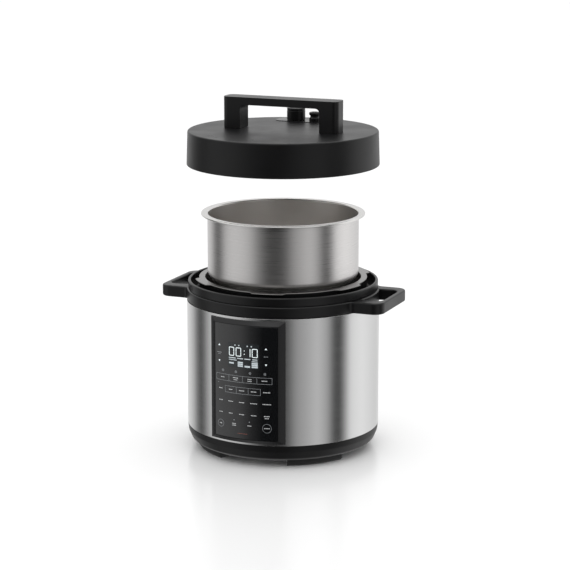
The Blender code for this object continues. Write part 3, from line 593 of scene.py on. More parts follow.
class COOKER_OT_band(Piece, bpy.types.Operator):
    """Moulds the band with the two carrying loops, and the collar above it"""

    bl_idname = "cooker.band"
    bl_label = "Band and Collar"

    def build(self, size):
        bottom, top = low("handle_band"), high("handle_band")
        hole = arc((0.0, 0.0), 0.1349, 0, 357.5, 143)
        loops = [band_outline(size), hole, finger_loop(size, 1), finger_loop(size, -1)]
        piece("carrying_band", slab(loops, bottom, top, 0.0022), "handle_abs", "base", ["handle_band"])
        collar, floor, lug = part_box("top_collar"), 0.2285, low("lug_ring") - 0.0004
        ledge, crest, radius = collar[0][2], collar[1][2] - 0.0018, collar[1][0]
        ring = revolve(rounded([
            (radius, crest, 0.0026), (radius, high("handle_band") + LAYER, 0.0007),
            (0.1346, high("handle_band") + LAYER),
            (0.1346, ledge, 0.0006), (0.1160, ledge), (0.1160, lug), (0.1218, lug), (0.1218, floor, 0.0020),
            (0.1318, floor, 0.0025), (0.1342, crest, 0.0014),
        ]))
        drain = bar(0.0025, (0.0, 0.128, 0.220), (0.0, 0.128, 0.232))
        piece("lid_collar", boolean(ring, [drain]), "collar_abs", "base", ["top_collar"])


def lug_outline(size):
    """The lug ring's edge: six lugs that swell out of a plain rim."""
    reach, plain, loop = hypot(*lug_tip()), 0.1220, []
    for step in range(360):
        away = abs((step - 72.0 + 30.0) % 60.0 - 30.0)
        swell = min(1.0, max(0.0, (12.4 - away) / 2.6))
        loop.append(polar(plain + (reach - plain) * swell * swell * (3 - 2 * swell), step))
    return loop[::-1]


def lug_tip():
    return polar(0.1284, 72.0)


class COOKER_OT_ring(Piece, bpy.types.Operator):
    """Presses the steel lug ring that the lid catches, and the liner that hangs under it"""

    bl_idname = "cooker.ring"
    bl_label = "Lug Ring and Liner"

    def build(self, size):
        bottom, top = low("lug_ring"), high("lug_ring")
        bore = 0.1133
        inside = arc((0.0, 0.0), bore, 0, 358, 179)
        piece(
            "lug_ring_steel", slab([lug_outline(size), inside], bottom, top, 0.0008), "lug_steel", "base",
            ["lug_ring"],
        )
        foot, lip = low("liner"), high("liner")
        wall = revolve(rounded([
            (bore + 0.0010, lip), (bore + 0.0010, foot, 0.0030), (0.0945, foot), (0.0945, foot + 0.0010),
            (bore, foot + 0.0010, 0.0020), (bore, lip),
        ]))
        piece("well_liner", wall, "pressed_steel", "base", ["liner"])


class COOKER_OT_base_pan(Piece, bpy.types.Operator):
    """Moulds the tub under the cooker, its vents and its four rubber feet"""

    bl_idname = "cooker.base_pan"
    bl_label = "Base Pan and Feet"

    def build(self, size):
        floor, seam, rise = low("base_pan"), low("outer_shell") - LAYER, low("outer_shell") + 0.0060
        tub = revolve(rounded([
            (0.1386, rise), (0.1386, seam), (0.1400, seam, 0.0005), (0.1390, seam - 0.0087, 0.0060),
            (0.1345, floor + 0.0040, 0.0050), (0.1290, floor, 0.0050), (0.0, floor), (0.0, floor + 0.0026),
            (0.1270, floor + 0.0026, 0.0050), (0.1360, seam - 0.0077, 0.0060), (0.1360, rise),
        ]))
        vents = [block((-0.0022, 0.092, floor - 0.01), (0.0022, 0.116, floor + 0.02)) for _ in range(12)]
        for number, vent in enumerate(vents):
            vent.transform(Matrix.Rotation(radians(15.0 + 30.0 * number), 4, "Z"))
        screw_holes = [(*polar(0.108, 90.0 * number), floor) for number in range(4)]
        vents += [bar(0.0022, (x, y, z - 0.01), (x, y, z + 0.01)) for x, y, z in screw_holes]
        piece("base_tub", boolean(tub, [merged(vents)]), "polypropylene", "base", ["base_pan"])
        for corner, middle in (
            ("front_right", 45), ("back_right", 135), ("back_left", 225), ("front_left", 315),
        ):
            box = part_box("foot_" + corner)
            top = box[1][2]
            section = rounded([
                (0.0975, 0.0, 0.0012), (0.1225, 0.0, 0.0015), (0.1245, 0.0030, 0.0010), (0.1245, top),
                (0.0975, top),
            ])
            pad = wrapped(spread(middle - 20.0, middle + 20.0, 24), lambda angle: section)
            piece("foot_pad_" + corner, pad, "nitrile_rubber", "base", ["foot_" + corner])

        def vent_bars(tree, given):
            ring = add(
                tree, "GeometryNodeMeshCircle", {"Vertices": given["Vents"], "Radius": given["Radius"]},
            )
            sides = add(
                tree, "ShaderNodeCombineXYZ",
                {"X": given["Length"], "Y": given["Width"], "Z": given["Depth"]},
            )
            rib = add(tree, "GeometryNodeMeshCube", {"Size": sides.outputs["Vector"]})
            spot = add(tree, "GeometryNodeInputPosition")
            turn = add(tree, "FunctionNodeAlignRotationToVector", {"Vector": spot.outputs[0]}, axis="X")
            ribs = add(tree, "GeometryNodeInstanceOnPoints", {
                "Points": ring.outputs["Mesh"], "Instance": rib.outputs["Mesh"],
                "Rotation": turn.outputs["Rotation"],
            })
            return add(tree, "GeometryNodeTransform", {
                "Geometry": ribs.outputs["Instances"], "Translation": (0.0, 0.0, floor + 0.0033),
            }).outputs["Geometry"]

        values = {"Vents": 24, "Radius": 0.086, "Length": 0.014, "Width": 0.0016, "Depth": 0.0012}
        grown("tub_ribs", vent_bars, values, "base", "polypropylene")


class COOKER_OT_heater(Piece, bpy.types.Operator):
    """Casts the heating plate and fits the sprung sensor button in its middle"""

    bl_idname = "cooker.heater"
    bl_label = "Heating Plate"

    def build(self, size):
        plate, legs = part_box("heating_plate"), []
        top, radius = plate[1][2], plate[1][0]
        under = top - 0.0085
        profile = [(radius, top, 0.0020)]
        profile += [
            (radius, under, 0.0010), (0.0720, under), (0.0720, under - 0.0020), (0.0580, under - 0.0020),
            (0.0580, under),
        ]
        profile += [(0.0190, under), (0.0190, top, 0.0008)]
        for groove in (0.035, 0.052, 0.069, 0.084):
            profile += [(groove - 0.0008, top), (groove, top - 0.0005), (groove + 0.0008, top)]
        disc = revolve(rounded(profile, 3))
        for number in range(3):
            x, y = polar(0.081, 60.0 + 120.0 * number)
            legs.append(bar(0.0045, (x, y, under + 0.002), (x, y, plate[0][2])))
        piece("heater_casting", boolean(disc, legs, "UNION"), "cast_aluminium", "base", ["heating_plate"])
        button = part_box("sensor_button")
        crown, skirt = button[1][2], button[0][2]
        cap = revolve(rounded([
            (0.0, crown), (0.0168, crown, 0.0015), (0.0168, crown - 0.0052, 0.0006), (0.0140, crown - 0.0052),
            (0.0140, skirt), (0.0128, skirt), (0.0128, crown - 0.0037), (0.0, crown - 0.0037),
        ]), segments=64)
        piece("sensor_cap", cap, "cast_aluminium", "sensor", ["sensor_button"])
        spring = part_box("sensor_spring")

        def coil(tree, given):
            path = add(tree, "GeometryNodeCurveSpiral", {
                "Resolution": 24, "Rotations": given["Turns"], "Start Radius": given["Radius"],
                "End Radius": given["Radius"], "Height": given["Height"],
            })
            ring = add(tree, "GeometryNodeCurvePrimitiveCircle", {"Resolution": 10, "Radius": given["Wire"]})
            tube = add(tree, "GeometryNodeCurveToMesh", {
                "Curve": path.outputs[0], "Profile Curve": ring.outputs[0], "Fill Caps": True,
            })
            return add(tree, "GeometryNodeTransform", {
                "Geometry": tube.outputs["Mesh"], "Translation": (0.0, 0.0, spring[0][2] + 0.0009),
            }).outputs["Geometry"]

        rise = spring[1][2] - spring[0][2] - 0.0018
        values = {"Turns": 5.0, "Radius": 0.0093, "Height": rise, "Wire": 0.0008}
        spiral = grown(
            "sensor_coil", coil, values, "base", "bright_steel", ["sensor_spring"],
        )
        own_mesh(spiral)


class Print:
    """Marks laid on the curved glass, each a closed sliver: places are degrees and metres above the feet."""

    def __init__(self, radius, proud):
        self.back, self.front = radius - 0.0002, radius + proud
        self.vertices, self.faces = [], []

    def patch(self, outline):
        first, count = len(self.vertices), len(outline)
        for radius in (self.back, self.front):
            self.vertices += [(*polar(radius, angle), height) for angle, height in outline]
        self.faces.append(tuple(range(first, first + count)))
        self.faces.append(tuple(range(first + count, first + 2 * count)))
        for i in range(count):
            j = (i + 1) % count
            self.faces.append((first + i, first + j, first + count + j, first + count + i))

    def level(self, left, right, height, width):
        """A level bar that bends with the glass, a degree at a time."""
        first, stops, half = len(self.vertices), spread(
            left, right, max(1, round(abs(right - left))),
        ), width / 2
        for angle in stops:
            for radius, side in (
                (self.back, -half), (self.back, half), (self.front, half), (self.front, -half),
            ):
                self.vertices.append((*polar(radius, angle), height + side))
        for row in range(len(stops) - 1):
            for i in range(4):
                j, here = (i + 1) % 4, first + 4 * row
                self.faces.append((here + i, here + j, here + 4 + j, here + 4 + i))
        self.faces += [
            tuple(range(first, first + 4)), tuple(range(len(self.vertices) - 4, len(self.vertices))),
        ]

    def upright(self, angle, bottom, top, width):
        half = degrees(width / 2 / self.front)
        self.patch([(angle - half, bottom), (angle + half, bottom), (angle + half, top), (angle - half, top)])

    def frame(self, left, right, bottom, top, width):
        """A rectangle drawn with four lines."""
        half = degrees(width / 2 / self.front)
        self.level(left - half, right + half, bottom, width)
        self.level(left - half, right + half, top, width)
        for angle in (left, right):
            self.upright(angle, bottom + width / 2, top - width / 2, width)

    def ring(self, angle, height, radius, width, sides=40):
        for side in range(sides):
            corners = []
            for turn, reach in ((side, -1), (side + 1, -1), (side + 1, 1), (side, 1)):
                spoke = radius + reach * width / 2
                around = 2 * pi * turn / sides
                corners.append(
                    (angle + degrees(spoke * cos(around) / self.front), height + spoke * sin(around)),
                )
            self.patch(corners)

    def disc(self, angle, height, radius, sides=16):
        turns = [2 * pi * side / sides for side in range(sides)]
        self.patch([(angle + degrees(radius * cos(t) / self.front), height + radius * sin(t)) for t in turns])

    def arrow(self, angle, height, reach):
        """A small triangle that points up, or down for a negative reach."""
        half = degrees(abs(reach) / self.front)
        self.patch([
            (angle - half, height - reach * 0.6), (angle + half, height - reach * 0.6),
            (angle, height + reach * 0.8),
        ])

    def strokes(self, angle, height, count, tall=0.0011):
        """A key's caption as a row of plain dashes, with no lettering."""
        step = degrees(0.0021 / self.front)
        first = angle - step * (count - 1) / 2
        for number in range(count):
            middle = first + step * number
            self.level(middle - step * 0.34, middle + step * 0.34, height, tall)

    def digit(self, left, bottom, tall, wide, segments):
        """One digit of seven bars: a to f run clockwise from the top, and g is the middle."""
        across, thick = degrees(wide / self.front), 0.0010
        right, middle, top = left + across, bottom + tall / 2, bottom + tall
        trim = degrees(thick * 0.25 / self.front)
        bars = {"a": (top, left, right), "d": (bottom, left, right), "g": (middle, left, right)}
        posts = {
            "b": (right, middle, top), "c": (right, bottom, middle), "e": (left, bottom, middle),
            "f": (left, middle, top),
        }
        for name in segments:
            if name in bars:
                height, start_angle, end_angle = bars[name]
                self.level(start_angle + trim, end_angle - trim, height, thick)
            else:
                angle, foot, head = posts[name]
                self.upright(angle, foot + thick * 0.2, head - thick * 0.2, thick)

    def file(self, name, material, slot="panel_glass"):
        mesh = bpy.data.meshes.new(name)
        mesh.from_pydata(self.vertices, [], self.faces)
        piece(name, mesh, material, "base")


class COOKER_OT_panel(Piece, bpy.types.Operator):
    """Moulds the control panel's frame and bends the smoked glass into it"""

    bl_idname = "cooker.panel"
    bl_label = "Control Panel"

    def build(self, size):
        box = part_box("panel_frame")
        bottom, top, face = box[0][2], box[1][2], -box[0][1]
        outline = 23.8
        flat = 19.7
        back = size.body_radius + LAYER
        edge = back + 0.0008

        def section(angle):
            rise = min(1.0, max(0.0, (outline - abs(angle)) / (outline - flat)))
            front = edge + (face - edge) * rise
            return [
                (back, bottom), (back, top), (edge, top), (front, top - 0.0001 - 0.0059 * rise),
                (front, bottom + 0.0001 + 0.0049 * rise), (edge, bottom),
            ]

        stations = spread(-outline, -flat, 3)[:-1] + spread(-flat, flat, 34) + spread(flat, outline, 3)[1:]
        surround = wrapped(stations, section)
        seat, sill, head = face - 0.0020, bottom + 0.0055, top - 0.0065
        pocket = wrapped(
            spread(0.3 - flat, flat - 0.3, 34), lambda angle: [
                (seat, sill), (0.150, sill), (0.150, head), (seat, head),
            ]
        )
        window = wrapped(
            spread(-15.0, 15.0, 12), lambda angle: [(0.13, 0.05), (0.15, 0.05), (0.15, 0.20), (0.13, 0.20)],
        )
        piece(
            "panel_surround", boolean(surround, [pocket, window]), "gloss_abs", "base", ["panel_frame"],
            sharp=20,
        )
        glass_face = face - 0.0001
        outline_of_glass = rounded([
            (seat + LAYER, sill + LAYER), (glass_face, sill + LAYER, 0.0005),
            (glass_face, head - LAYER, 0.0005), (seat + LAYER, head - LAYER),
        ], 3)
        pane = wrapped(spread(0.44 - flat, flat - 0.44, 40), lambda angle: outline_of_glass)
        piece("panel_pane", pane, "smoked_acrylic", "base", ["panel_glass"])


class COOKER_OT_keys(Piece, bpy.types.Operator):
    """Prints the touch keys and lights the display behind the glass"""

    bl_idname = "cooker.keys"
    bl_label = "Keys and Display"

    def build(self, size):
        glass, foot, line = -low("panel_glass", 1) - 0.0001, low("outer_shell"), size.print_line
        keys, dim, lit, soft = (Print(glass, 0.00005) for _ in range(4))
        dim.frame(-18.3, 16.2, foot + 0.0912, foot + 0.1003, line)
        for number in (1, 2, 3):
            dim.upright(-18.3 + 34.5 * number / 4, foot + 0.0912, foot + 0.1003, line)
        dim.frame(-12.2, 9.6, foot + 0.0745, foot + 0.0838, line)
        for angle in (-4.9, 2.4):
            dim.upright(angle, foot + 0.0745, foot + 0.0838, line)
        for number, count in enumerate((3, 4, 3, 4)):
            middle = -14.0 + 8.63 * number
            keys.strokes(middle, foot + (0.0970 if number in (1, 2) else 0.0958), count)
            if number in (1, 2):
                keys.strokes(middle, foot + 0.0942, 3)
            dim.ring(middle + 0.3, foot + 0.1058, 0.0015, 0.0006, 20)
            dim.disc(middle + 0.3, foot + 0.1058, 0.0006)
        columns = (-15.3, -8.6, -1.6, 5.6, 13.2)
        for row, counts in ((0.0792, (3, 3, 4, 4, 5)), (0.0620, (3, 4, 4, 5, 6)), (0.0445, (3, 3, 4, 4, 4))):
            for angle, count in zip(columns, counts):
                keys.strokes(angle, foot + row, count)
        keys.strokes(columns[4], foot + 0.0415, 3)
        dim.ring(-15.4, foot + 0.0277, 0.0052, line)
        dim.ring(13.3, foot + 0.0269, 0.0064, line)
        keys.strokes(-15.4, foot + 0.0277, 2)
        keys.strokes(13.3, foot + 0.0269, 4)
        for angle, height in ((-6.4, 0.0300), (3.1, 0.0290)):
            keys.strokes(angle, foot + height, 3)
            dim.disc(angle, foot + height + 0.0055, 0.0008)
        keys.strokes(-6.4, foot + 0.0275, 3)
        for angle, count in ((-16.2, 4), (12.8, 3)):
            lit.arrow(angle, foot + 0.1420, 0.0017)
            lit.arrow(angle, foot + 0.1190, -0.0017)
            dim.strokes(angle, foot + 0.1310, count)
        dim.strokes(-16.2, foot + 0.1287, 2)
        dim.disc(-16.9, foot + 0.0875, 0.0006)
        digits = foot + 0.1292
        for left, segments in ((-9.3, "abcdef"), (-4.9, "abcdef"), (1.9, "bc"), (4.9, "abcdef")):
            lit.digit(left - (1.2 if segments == "bc" else 0.0), digits, 0.0118, 0.0074, segments)
        for height in (0.0035, 0.0083):
            lit.disc(0.15, digits + height, 0.0007)
        for angle in (-5.6, -3.2, 2.0, 4.4):
            soft.disc(angle, foot + 0.1445, 0.0010)
        for left, right in ((-9.6, -5.2), (-4.2, -0.6), (0.2, 3.8), (4.9, 7.9)):
            soft.level(left, right, foot + 0.1258, 0.0013)
        for left, right in ((-9.6, -4.6), (4.6, 8.0)):
            soft.level(left, right, foot + 0.1230, 0.0011)
        soft.level(-9.4, -6.4, foot + 0.1182, 0.0022)
        for left, right in ((-3.9, -0.7), (4.6, 8.1)):
            for row in range(3):
                soft.level(left, right, foot + 0.1150 + 0.0026 * row, 0.0021)
        soft.level(0.3, 3.6, foot + 0.1150, 0.0024)
        field = Print(glass, 0.00002)
        field.level(-10.3, 8.9, foot + 0.1302, 0.0362)
        field.file("display_field", "display_pane")
        keys.file("key_print_lines", "key_print")
        dim.file("key_print_dim", "dim_print")
        lit.file("display_digits", "lit_segment")
        soft.file("display_words", "soft_segment")
        rule = Print(glass, 0.00004)
        rule.level(-4.2, 1.8, foot + 0.0165, 0.0005)
        rule.file("panel_rule", "red_print")


class COOKER_OT_back(Piece, bpy.types.Operator):
    """Fits the mains socket and the little condensate cup in its niche"""

    bl_idname = "cooker.back"
    bl_label = "Socket and Cup"

    def build(self, size):
        inlet, holder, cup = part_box("power_inlet"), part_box("cup_holder"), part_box("condensate_cup")
        rim, back = inlet[1][1], 0.1404
        flange = block((inlet[0][0], back, inlet[0][2]), (inlet[1][0], rim, inlet[1][2]), 0.0009)
        body = block((-0.0160, inlet[0][1], 0.0430), (0.0160, 0.1415, 0.0680))
        mouth = block((-0.0125, 0.1220, 0.0465), (0.0125, 0.150, 0.0645))
        socket = boolean(boolean(flange, [body], "UNION"), [mouth])
        piece("mains_socket", socket, "polypropylene", "base", ["power_inlet"])
        pins = []
        for x, z in ((-0.007, 0.0535), (0.007, 0.0535), (0.0, 0.0575)):
            pins.append(block((x - 0.0010, 0.1216, z - 0.0020), (x + 0.0010, 0.1385, z + 0.0020), 0.0004))
        piece("socket_pins", merged(pins), "bright_steel", "base")
        bottom, top = holder[0][2], holder[1][2]
        section = rounded(
            [(0.1403, bottom), (0.1420, bottom, 0.0007), (0.1420, top, 0.0007), (0.1403, top)], 3,
        )
        surround = wrapped(spread(166.4, 193.6, 20), lambda angle: section)
        box = block((-0.0305, holder[0][1], 0.1560), (0.0305, 0.1410, 0.2120))
        hollow = block((-0.0285, 0.1205, 0.1580), (0.0285, 0.160, 0.2100))
        drain = bar(0.0030, (0.0, 0.128, 0.205), (0.0, 0.128, 0.215))
        niche = boolean(boolean(surround, [box], "UNION"), [hollow, drain])
        piece("cup_niche", niche, "polypropylene", "base", ["cup_holder"])
        side, front, sill, lip = cup[1][0], cup[1][1], cup[0][2], cup[1][2]
        corners = [
            (side, front, 0.006), (-side, front, 0.006), (-side, cup[0][1], 0.006), (side, cup[0][1], 0.006),
        ]
        inner = [
            (x - 0.0018 * (1 if x > 0 else -1), y + (0.0018 if y < 0.13 else -0.0018), 0.0045) for x, y,
            _ in corners
        ]
        solid = slab([rounded(corners)], sill, lip, 0.0005)
        well = slab([rounded(inner)], sill + 0.0018, lip + 0.006, 0.0004)
        notch = block((-0.0100, front - 0.004, lip - 0.007), (0.0100, front + 0.004, lip + 0.006), 0.0020)
        piece("drip_cup", boolean(solid, [well, notch]), "clear_polycarbonate", "cup", ["condensate_cup"])


class COOKER_OT_pot(Piece, bpy.types.Operator):
    """Draws the steel pot: rolled rim, straight wall and a round corner to the bottom"""

    bl_idname = "cooker.pot"
    bl_label = "Inner Pot"

    def build(self, size):
        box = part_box("inner_pot")
        bottom, top, rim, wall = box[0][2], box[1][2], box[1][0], 0.0012
        outer, inner, corner = size.pot_radius, size.pot_radius - wall, size.pot_corner
        profile = rounded([
            (inner, top, 0.0026), (rim, top, 0.0014), (rim, top - 0.0030, 0.0012),
            (rim - 0.0028, top - 0.0030, 0.0006),
            (rim - 0.0028, top - 0.0018, 0.0006), (outer, top - 0.0018, 0.0014), (outer, bottom, corner),
            (0.0210, bottom, 0.0020), (0.0190, bottom + 0.0026, 0.0010), (0.0, bottom + 0.0026),
            (0.0, bottom + 0.0050),
            (0.0210, bottom + 0.0050, 0.0030), (0.0300, bottom + 0.0026, 0.0030),
            (inner, bottom + 0.0026, corner - wall),
        ], 8)
        mesh = revolve(profile)
        drawn = piece("drawn_pot_steel", mesh, "drawn_pot", "pot", ["inner_pot"])
        drawn.data.materials.append(finish("rolled_rim"))
        drawn.data.materials.append(finish("polished_pot"))
        for face in drawn.data.polygons:
            reach = hypot(face.center.x, face.center.y)
            if reach > outer + 0.0004 or face.center.z > top - 0.0016:
                face.material_index = 1
            # Faces inside the pot take the lighter copy of the steel: painted light against the shade inside
            # the pot.
            elif face.center.z > bottom + 0.0020 and reach < inner + 0.0002 and face.normal.z > -0.5:
                face.material_index = 2

        def marks(tree, given):
            line = add(
                tree, "GeometryNodeMeshLine", {"Count": given["Marks"], "Offset": (0.0, 0.0, 0.0135)},
                mode="OFFSET",
            )
            sides = add(
                tree, "ShaderNodeCombineXYZ",
                {"X": given["Length"], "Y": given["Depth"], "Z": given["Width"]},
            )
            dash = add(tree, "GeometryNodeMeshCube", {"Size": sides.outputs["Vector"]})
            dashes = add(
                tree, "GeometryNodeInstanceOnPoints",
                {"Points": line.outputs["Mesh"], "Instance": dash.outputs["Mesh"]},
            )
            return add(tree, "GeometryNodeTransform", {
                "Geometry": dashes.outputs["Instances"],
                "Translation": (0.0, -inner + 0.00012, bottom + 0.024),
            }).outputs["Geometry"]

        values = {"Marks": 5, "Length": 0.0075, "Depth": 0.0004, "Width": 0.0007}
        grown("level_marks", marks, values, "pot", "pressed_steel")


class COOKER_OT_lid(Piece, bpy.types.Operator):
    """Moulds the lid's cover, with its position marks and the island under the valves"""

    bl_idname = "cooker.lid"
    bl_label = "Lid Cover"

    def build(self, size):
        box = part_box("lid_cover")
        bottom, top, skirt = box[0][2], box[1][2], box[1][0]
        crown, wall, edge = skirt - 0.0016, 0.0028, size.lid_edge
        cover = revolve(rounded([
            (crown, top, edge), (skirt, bottom, 0.0010), (skirt - wall, bottom, 0.0006),
            (crown - wall, top - wall, 0.0040),
            (0.0, top - wall), (0.0, top),
        ], 6))
        bosses, holes = [], []
        for number in range(3):
            x, y = polar(0.085, 120.0 * number)
            bosses.append(bar(0.0055, (x, y, 0.4378), (x, y, top - wall + 0.001)))
            holes.append(bar(0.0018, (x, y, 0.43), (x, y, 0.448)))
        for x in (0.075, -0.075):
            holes.append(bar(0.0026, (x, 0.0, 0.44), (x, 0.0, 0.48)))
        for node, radius in (("steam_pipe", 0.0052), ("float_guard", 0.0036)):
            holes.append(bar(radius, (*centre_of(node), 0.44), (*centre_of(node), 0.48)))
        cover = boolean(boolean(cover, bosses, "UNION"), holes)
        piece("lid_moulding", cover, "satin_abs", "lid", ["lid_cover"])
        island = [
            (0.024, 0.083, 0.012), (0.024, 0.119, 0.014), (-0.050, 0.119, 0.014), (-0.050, 0.083, 0.012),
        ]
        bores = [
            arc(centre_of("steam_pipe"), 0.0052, 0, 350, 35),
            arc(centre_of("float_guard"), 0.0086, 0, 350, 35),
        ]
        plate = slab([rounded(island, 10)] + bores, top + 0.0001, top + 0.0008, 0.0002)
        piece("valve_island", plate, "gloss_abs", "lid")
        dot = slab([arc((0.0, -0.110), 0.0017, 0, 345, 23)], top - 0.0002, top + 0.0002, 0.0001)
        sweep = [polar(0.1198, angle) for angle in spread(-40.0, -29.0, 12)]
        sweep += [polar(0.1182, angle) for angle in spread(-29.0, -40.0, 12)]
        piece(
            "lid_marks", merged([dot, slab([sweep], top - 0.0002, top + 0.0002, 0.0001)]), "gloss_abs",
            "lid",
        )


class COOKER_OT_lid_handle(Piece, bpy.types.Operator):
    """Moulds the straight bridge handle, with its ends and edges rounded"""

    bl_idname = "cooker.lid_handle"
    bl_label = "Lid Handle"

    def build(self, size):
        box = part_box("lid_handle")
        foot, top, end, half = high("lid_cover") + LAYER, box[1][2], box[1][0], size.bridge_half
        under, gap, corner = 0.4995, 0.0610, 0.0080
        plan = rounded(
            [(end, half, corner), (-end, half, corner), (-end, -half, corner), (end, -half, corner)], 10,
        )
        curve = slab([plan], foot, top, 0.00001)
        opening = rounded(
            [(gap, foot - 0.01), (gap, under, 0.0062), (-gap, under, 0.0062), (-gap, foot - 0.01)], 8,
        )
        arch = slab([opening], -0.03, 0.03, 0.00001)
        arch.transform(Matrix.Rotation(pi / 2, 4, "X"))
        bm = bmesh.new()
        bm.from_mesh(boolean(curve, [arch]))
        bmesh.ops.dissolve_limit(bm, angle_limit=radians(1), verts=bm.verts, edges=bm.edges)
        mesh = bpy.data.meshes.new("bridge")
        bm.to_mesh(mesh)
        bm.free()
        obj = bare("bridge", mesh)
        soften = obj.modifiers.new("Soften", "BEVEL")
        soften.width = 0.0014
        soften.segments = 3
        soften.limit_method = "ANGLE"
        soften.angle_limit = radians(40)
        bpy.context.view_layer.update()
        piece("bridge_handle", baked(obj), "handle_abs", "lid", ["lid_handle"])


class COOKER_OT_lid_underside(Piece, bpy.types.Operator):
    """Presses the lid's steel pan with its hooks, and seats the silicone ring on its rack"""

    bl_idname = "cooker.lid_underside"
    bl_label = "Lid Pan and Seal"

    def build(self, size):
        bottom, top = low("lid_pan"), high("lid_pan")
        flange = bottom + 0.0087 - 0.0002
        disc = revolve(rounded([
            (0.1230, top, 0.0020), (0.1230, flange, 0.0006), (0.1310, flange, 0.0015),
            (0.1310, bottom, 0.0004),
            (0.1295, bottom, 0.0004), (0.1295, flange - 0.0015, 0.0008), (0.1215, flange - 0.0015, 0.0010),
            (0.1215, top - 0.0015, 0.0008), (0.0, top - 0.0015), (0.0, top),
        ]))
        hooks = []
        for number in range(6):
            middle = 72.0 + 60.0 * number
            hooks.append(wrapped(spread(middle - 9.0, middle + 9.0, 8), lambda angle: [
                (0.1247, bottom + 0.0002), (0.1303, bottom + 0.0002), (0.1303, bottom + 0.0015),
                (0.1247, bottom + 0.0015),
            ]))
        screws = [polar(0.085, 120.0 * number) for number in range(3)]
        holes = [bar(0.0020, (*screw, 0.43), (*screw, 0.445)) for screw in screws]
        for node, radius in (("steam_pipe", 0.0048), ("float_guard", 0.0036)):
            holes.append(bar(radius, (*centre_of(node), 0.43), (*centre_of(node), 0.445)))
        pan = boolean(boolean(disc, hooks, "UNION"), holes)
        piece("lid_pan_steel", pan, "pressed_steel", "lid", ["lid_pan"])
        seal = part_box("sealing_ring")
        lip, crest = seal[0][2], seal[1][2]
        ring = revolve(rounded([
            (0.1202, crest, 0.0008), (0.1202, lip + 0.0022, 0.0010), (0.1190, lip, 0.0008),
            (0.1100, lip, 0.0010),
            (0.1080, lip + 0.0012, 0.0006), (0.1080, lip + 0.0026, 0.0006), (0.1150, 0.4283, 0.0012),
            (0.1150, 0.4325, 0.0012), (0.1090, 0.4340, 0.0006), (0.1090, crest, 0.0006),
        ], 4))
        piece("silicone_seal", ring, "silicone_rubber", "seal", ["sealing_ring"])
        rack = revolve([
            (0.1100 + 0.0017 * cos(a), 0.4305 - 0.0017 * sin(a)) for a in [radians(30 * i) for i in range(12)]
        ])
        piece("seal_rack", rack, "bright_steel", "seal", ["ring_rack"])


class COOKER_OT_valves(Piece, bpy.types.Operator):
    """Turns the steam valve's knob, the float valve's flared guard and its pin"""

    bl_idname = "cooker.valves"
    bl_label = "Valves"

    def build(self, size):
        knob, guard, pin, cap = (
            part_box(node) for node in ("steam_valve_knob", "float_guard", "float_pin", "float_cap")
        )
        spot = centre_of("steam_valve_knob")
        bottom, top, radius = knob[0][2], knob[1][2], (knob[1][0] - knob[0][0]) / 2
        turned_knob = revolve(rounded([
            (0.0, top - 0.0016), (0.0088, top - 0.0016, 0.0012), (0.0104, top, 0.0006),
            (radius - 0.0002, top, 0.0012),
            (radius - 0.0002, top - 0.0034, 0.0003), (radius - 0.0007, top - 0.0037, 0.0003),
            (radius - 0.0007, top - 0.0043, 0.0003),
            (radius - 0.0001, top - 0.0046, 0.0003), (radius - 0.0001, bottom, 0.0009), (0.0050, bottom),
            (0.0050, bottom + 0.0120),
            (0.0, bottom + 0.0120),
        ], 4), spot, 96)
        pointer = block(
            (spot[0] - 0.0009, spot[1] - 0.0082, top - 0.0018),
            (spot[0] + 0.0009, spot[1] - 0.0022, top - 0.0009), 0.0004,
        )
        piece(
            "valve_knob", boolean(turned_knob, [pointer], "UNION"), "handle_abs", "steam_valve",
            ["steam_valve_knob"],
        )
        spot = centre_of("float_guard")
        bottom, top, radius = guard[0][2], guard[1][2], (guard[1][0] - guard[0][0]) / 2
        flare = revolve(rounded([
            (radius, top, 0.0012), (radius, top - 0.0036, 0.0008), (0.0066, top - 0.0050, 0.0006),
            (0.0066, top - 0.0072, 0.0006),
            (radius - 0.0003, top - 0.0086, 0.0008), (radius - 0.0003, bottom, 0.0004),
            (0.0036, bottom), (0.0036, top - 0.0037, 0.0010), (0.0058, top, 0.0005),
        ], 4), spot, 64)
        piece("float_flare", flare, "handle_abs", "lid", ["float_guard"])
        head, tail = pin[1][2], pin[0][2]
        stem = revolve(rounded([
            (0.0, head), (0.0030, head, 0.0006), (0.0030, tail + 0.0020, 0.0003), (0.0018, tail + 0.0020),
            (0.0018, tail), (0.0, tail),
        ], 3), spot, 48)
        piece("float_stem", stem, "bright_steel", "float_valve", ["float_pin"])
        foot, brim = cap[0][2], cap[1][2]
        bung = revolve(rounded([
            (0.0060, brim, 0.0005), (0.0060, foot, 0.0009), (0.0, foot), (0.0, foot + 0.0017),
            (0.0022, foot + 0.0017), (0.0022, brim),
        ], 3), spot, 48)
        piece("float_bung", bung, "silicone_rubber", "float_valve", ["float_cap"])


INNER_FINISHES = {
    "bright_steel": "base_screw handle_screw pan_screw diaphragm_post steam_pipe anti_block_shield",
    "pressed_steel": "pressure_diaphragm switch_bracket",
    "cast_aluminium": "heating_element sensor_housing",
    "black_case": "pressure_switch transformer filter_capacitor",
    "display_pane": "display_module",
    "solder_mask": "power_board control_board",
    "blue_case": "power_relay",
    "wire_sleeve": "ribbon_cable heater_wire thermal_fuse",
}


class COOKER_OT_inner_parts(Piece, bpy.types.Operator):
    """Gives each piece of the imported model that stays, such as the screws and the boards, its finish"""

    bl_idname = "cooker.inner_parts"
    bl_label = "Inner Parts"

    def build(self, size):
        for name, starts in INNER_FINISHES.items():
            for node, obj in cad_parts.items():
                if node.startswith(tuple(starts.split())) and node != "sensor_spring":
                    for holder in obj.material_slots:
                        holder.material = finish(name)


# Stage -----------------------------------------------------------------------------------------

